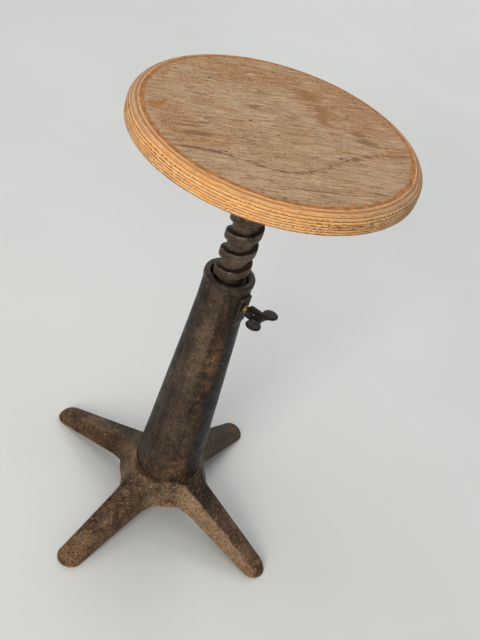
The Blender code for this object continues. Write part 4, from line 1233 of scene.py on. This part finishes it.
def add_stage():
    """A plain pale floor, and soft studio light from the front, from above and from behind."""
    bm = bmesh.new()
    bmesh.ops.create_grid(bm, x_segments=1, y_segments=1, size=FLOOR_HALF_SIZE)
    floor = drawn("floor", bm)
    floor.location = (0.0, 0.0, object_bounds()[0][2] - FLOOR_GAP)
    f = Finish("floor_paint", specular=0.2)
    tone = f.ramp(f.noise(2.2, 3.0, 0.5), (0.3, (0.6, 0.6, 0.58)), (0.7, (0.64, 0.64, 0.62)))
    floor.data.materials.append(f.done(tone, 0.7, f.bump(f.noise(300.0), 0.05, 0.0005)))
    world = bpy.data.worlds.new("studio")
    world.use_nodes = True
    backdrop = world.node_tree.nodes["Background"]
    backdrop.inputs["Color"].default_value = WORLD_COLOUR
    backdrop.inputs["Strength"].default_value = WORLD_STRENGTH
    bpy.context.scene.world = world
    light("key", (0.45, -2.25, 1.25), (0.0, 0.0, 0.35), (0.9, 1.2), 46.0, (1.0, 0.96, 0.9))
    light("top", (-0.5, 0.1, 2.6), (0.0, 0.0, 0.4), (1.8, 1.8), 17.0, (0.98, 0.99, 1.0))
    light("back", (-1.2, 3.4, 3.4), (-0.8, 2.9, 0.0), (3.2, 2.4), 90.0, (0.99, 1.0, 1.0))


def add_camera():
    """The view of the photograph: from the front right, above, and rolled."""
    ahead = Vector((-math.sin(CAMERA_YAW) * math.cos(CAMERA_PITCH),
                    math.cos(CAMERA_YAW) * math.cos(CAMERA_PITCH), -math.sin(CAMERA_PITCH)))
    right = Vector((math.cos(CAMERA_YAW), math.sin(CAMERA_YAW), 0.0))
    up = right.cross(ahead)
    side = math.cos(CAMERA_ROLL) * right + math.sin(CAMERA_ROLL) * up
    top = -math.sin(CAMERA_ROLL) * right + math.cos(CAMERA_ROLL) * up
    camera = bpy.data.cameras.new("camera")
    camera.lens = CAMERA_LENS
    camera.sensor_width = CAMERA_SENSOR
    made = linked("camera", camera)
    turn = Matrix((side, top, -ahead)).transposed()
    made.matrix_world = Matrix.Translation(CAMERA_PLACE) @ turn.to_4x4()
    bpy.context.scene.camera = made


def main():
    body_iron = iron("base_iron_worn", (0.016, 0.009, 0.005), (0.058, 0.034, 0.019),
                     (0.124, 0.079, 0.045), rough=(0.4, 0.58), flecked=0.54)
    tube_iron = iron("column_iron_worn", (0.01, 0.006, 0.003), (0.028, 0.017, 0.01),
                     (0.066, 0.045, 0.029), rusting=-0.03, streaks=True, grain=0.5)
    bush_iron = iron("bush_iron_worn", (0.015, 0.009, 0.006), (0.04, 0.028, 0.02),
                     (0.08, 0.06, 0.045), rusting=-0.04, grain=0.6)
    screw_iron = iron("screw_iron_worn", (0.02, 0.013, 0.008), (0.054, 0.037, 0.025),
                      (0.106, 0.078, 0.057), rough=(0.34, 0.52), metallic=0.2, grain=0.5)
    wing_iron = iron("wing_iron_worn", (0.006, 0.003, 0.002), (0.014, 0.008, 0.005),
                     (0.034, 0.022, 0.015), rusting=-0.02, grain=0.7)
    flange_iron = iron("flange_iron_dull", (0.014, 0.011, 0.009), (0.032, 0.025, 0.02),
                       (0.06, 0.048, 0.039), rough=(0.48, 0.66))
    plain = steel("dull_steel", (0.2, 0.18, 0.16), (0.095, 0.08, 0.068))
    brass = steel("aged_brass", (0.48, 0.31, 0.12), (0.23, 0.14, 0.055), (0.34, 0.52))
    wood = plywood()

    finished(make_base(), "root", "base", body_iron)
    finished(make_column(), "root", "column", tube_iron)
    finished(make_thread_bush(), "root", "thread_bush", bush_iron)
    finished(make_height_screw(), "seat", "height_screw", screw_iron)
    finished(make_flange(), "seat", "seat_flange", flange_iron)
    finished(make_seat(), "seat", "seat_board", wood)
    finished(make_wing_head(), "clamp", "wing_head", wing_iron)
    finished(make_clamp_stud(), "clamp", "clamp_stud", brass)
    for number in range(4):
        finished(make_wood_screw(number), "seat", f"seat_screw_{number + 1}", plain)
    for node in ("column_dowel", "column_washer", "bush_set_screw_1", "bush_set_screw_2",
                 "stop_washer", "stop_lock_washer", "stop_screw", "flange_pin", "wing_pin"):
        dress(node, plain)
    dress("column_nut", flange_iron)
    dress("clamp_slug", brass)
    add_stage()
    add_camera()
    bpy.context.scene.view_settings.view_transform = "Standard"


main()
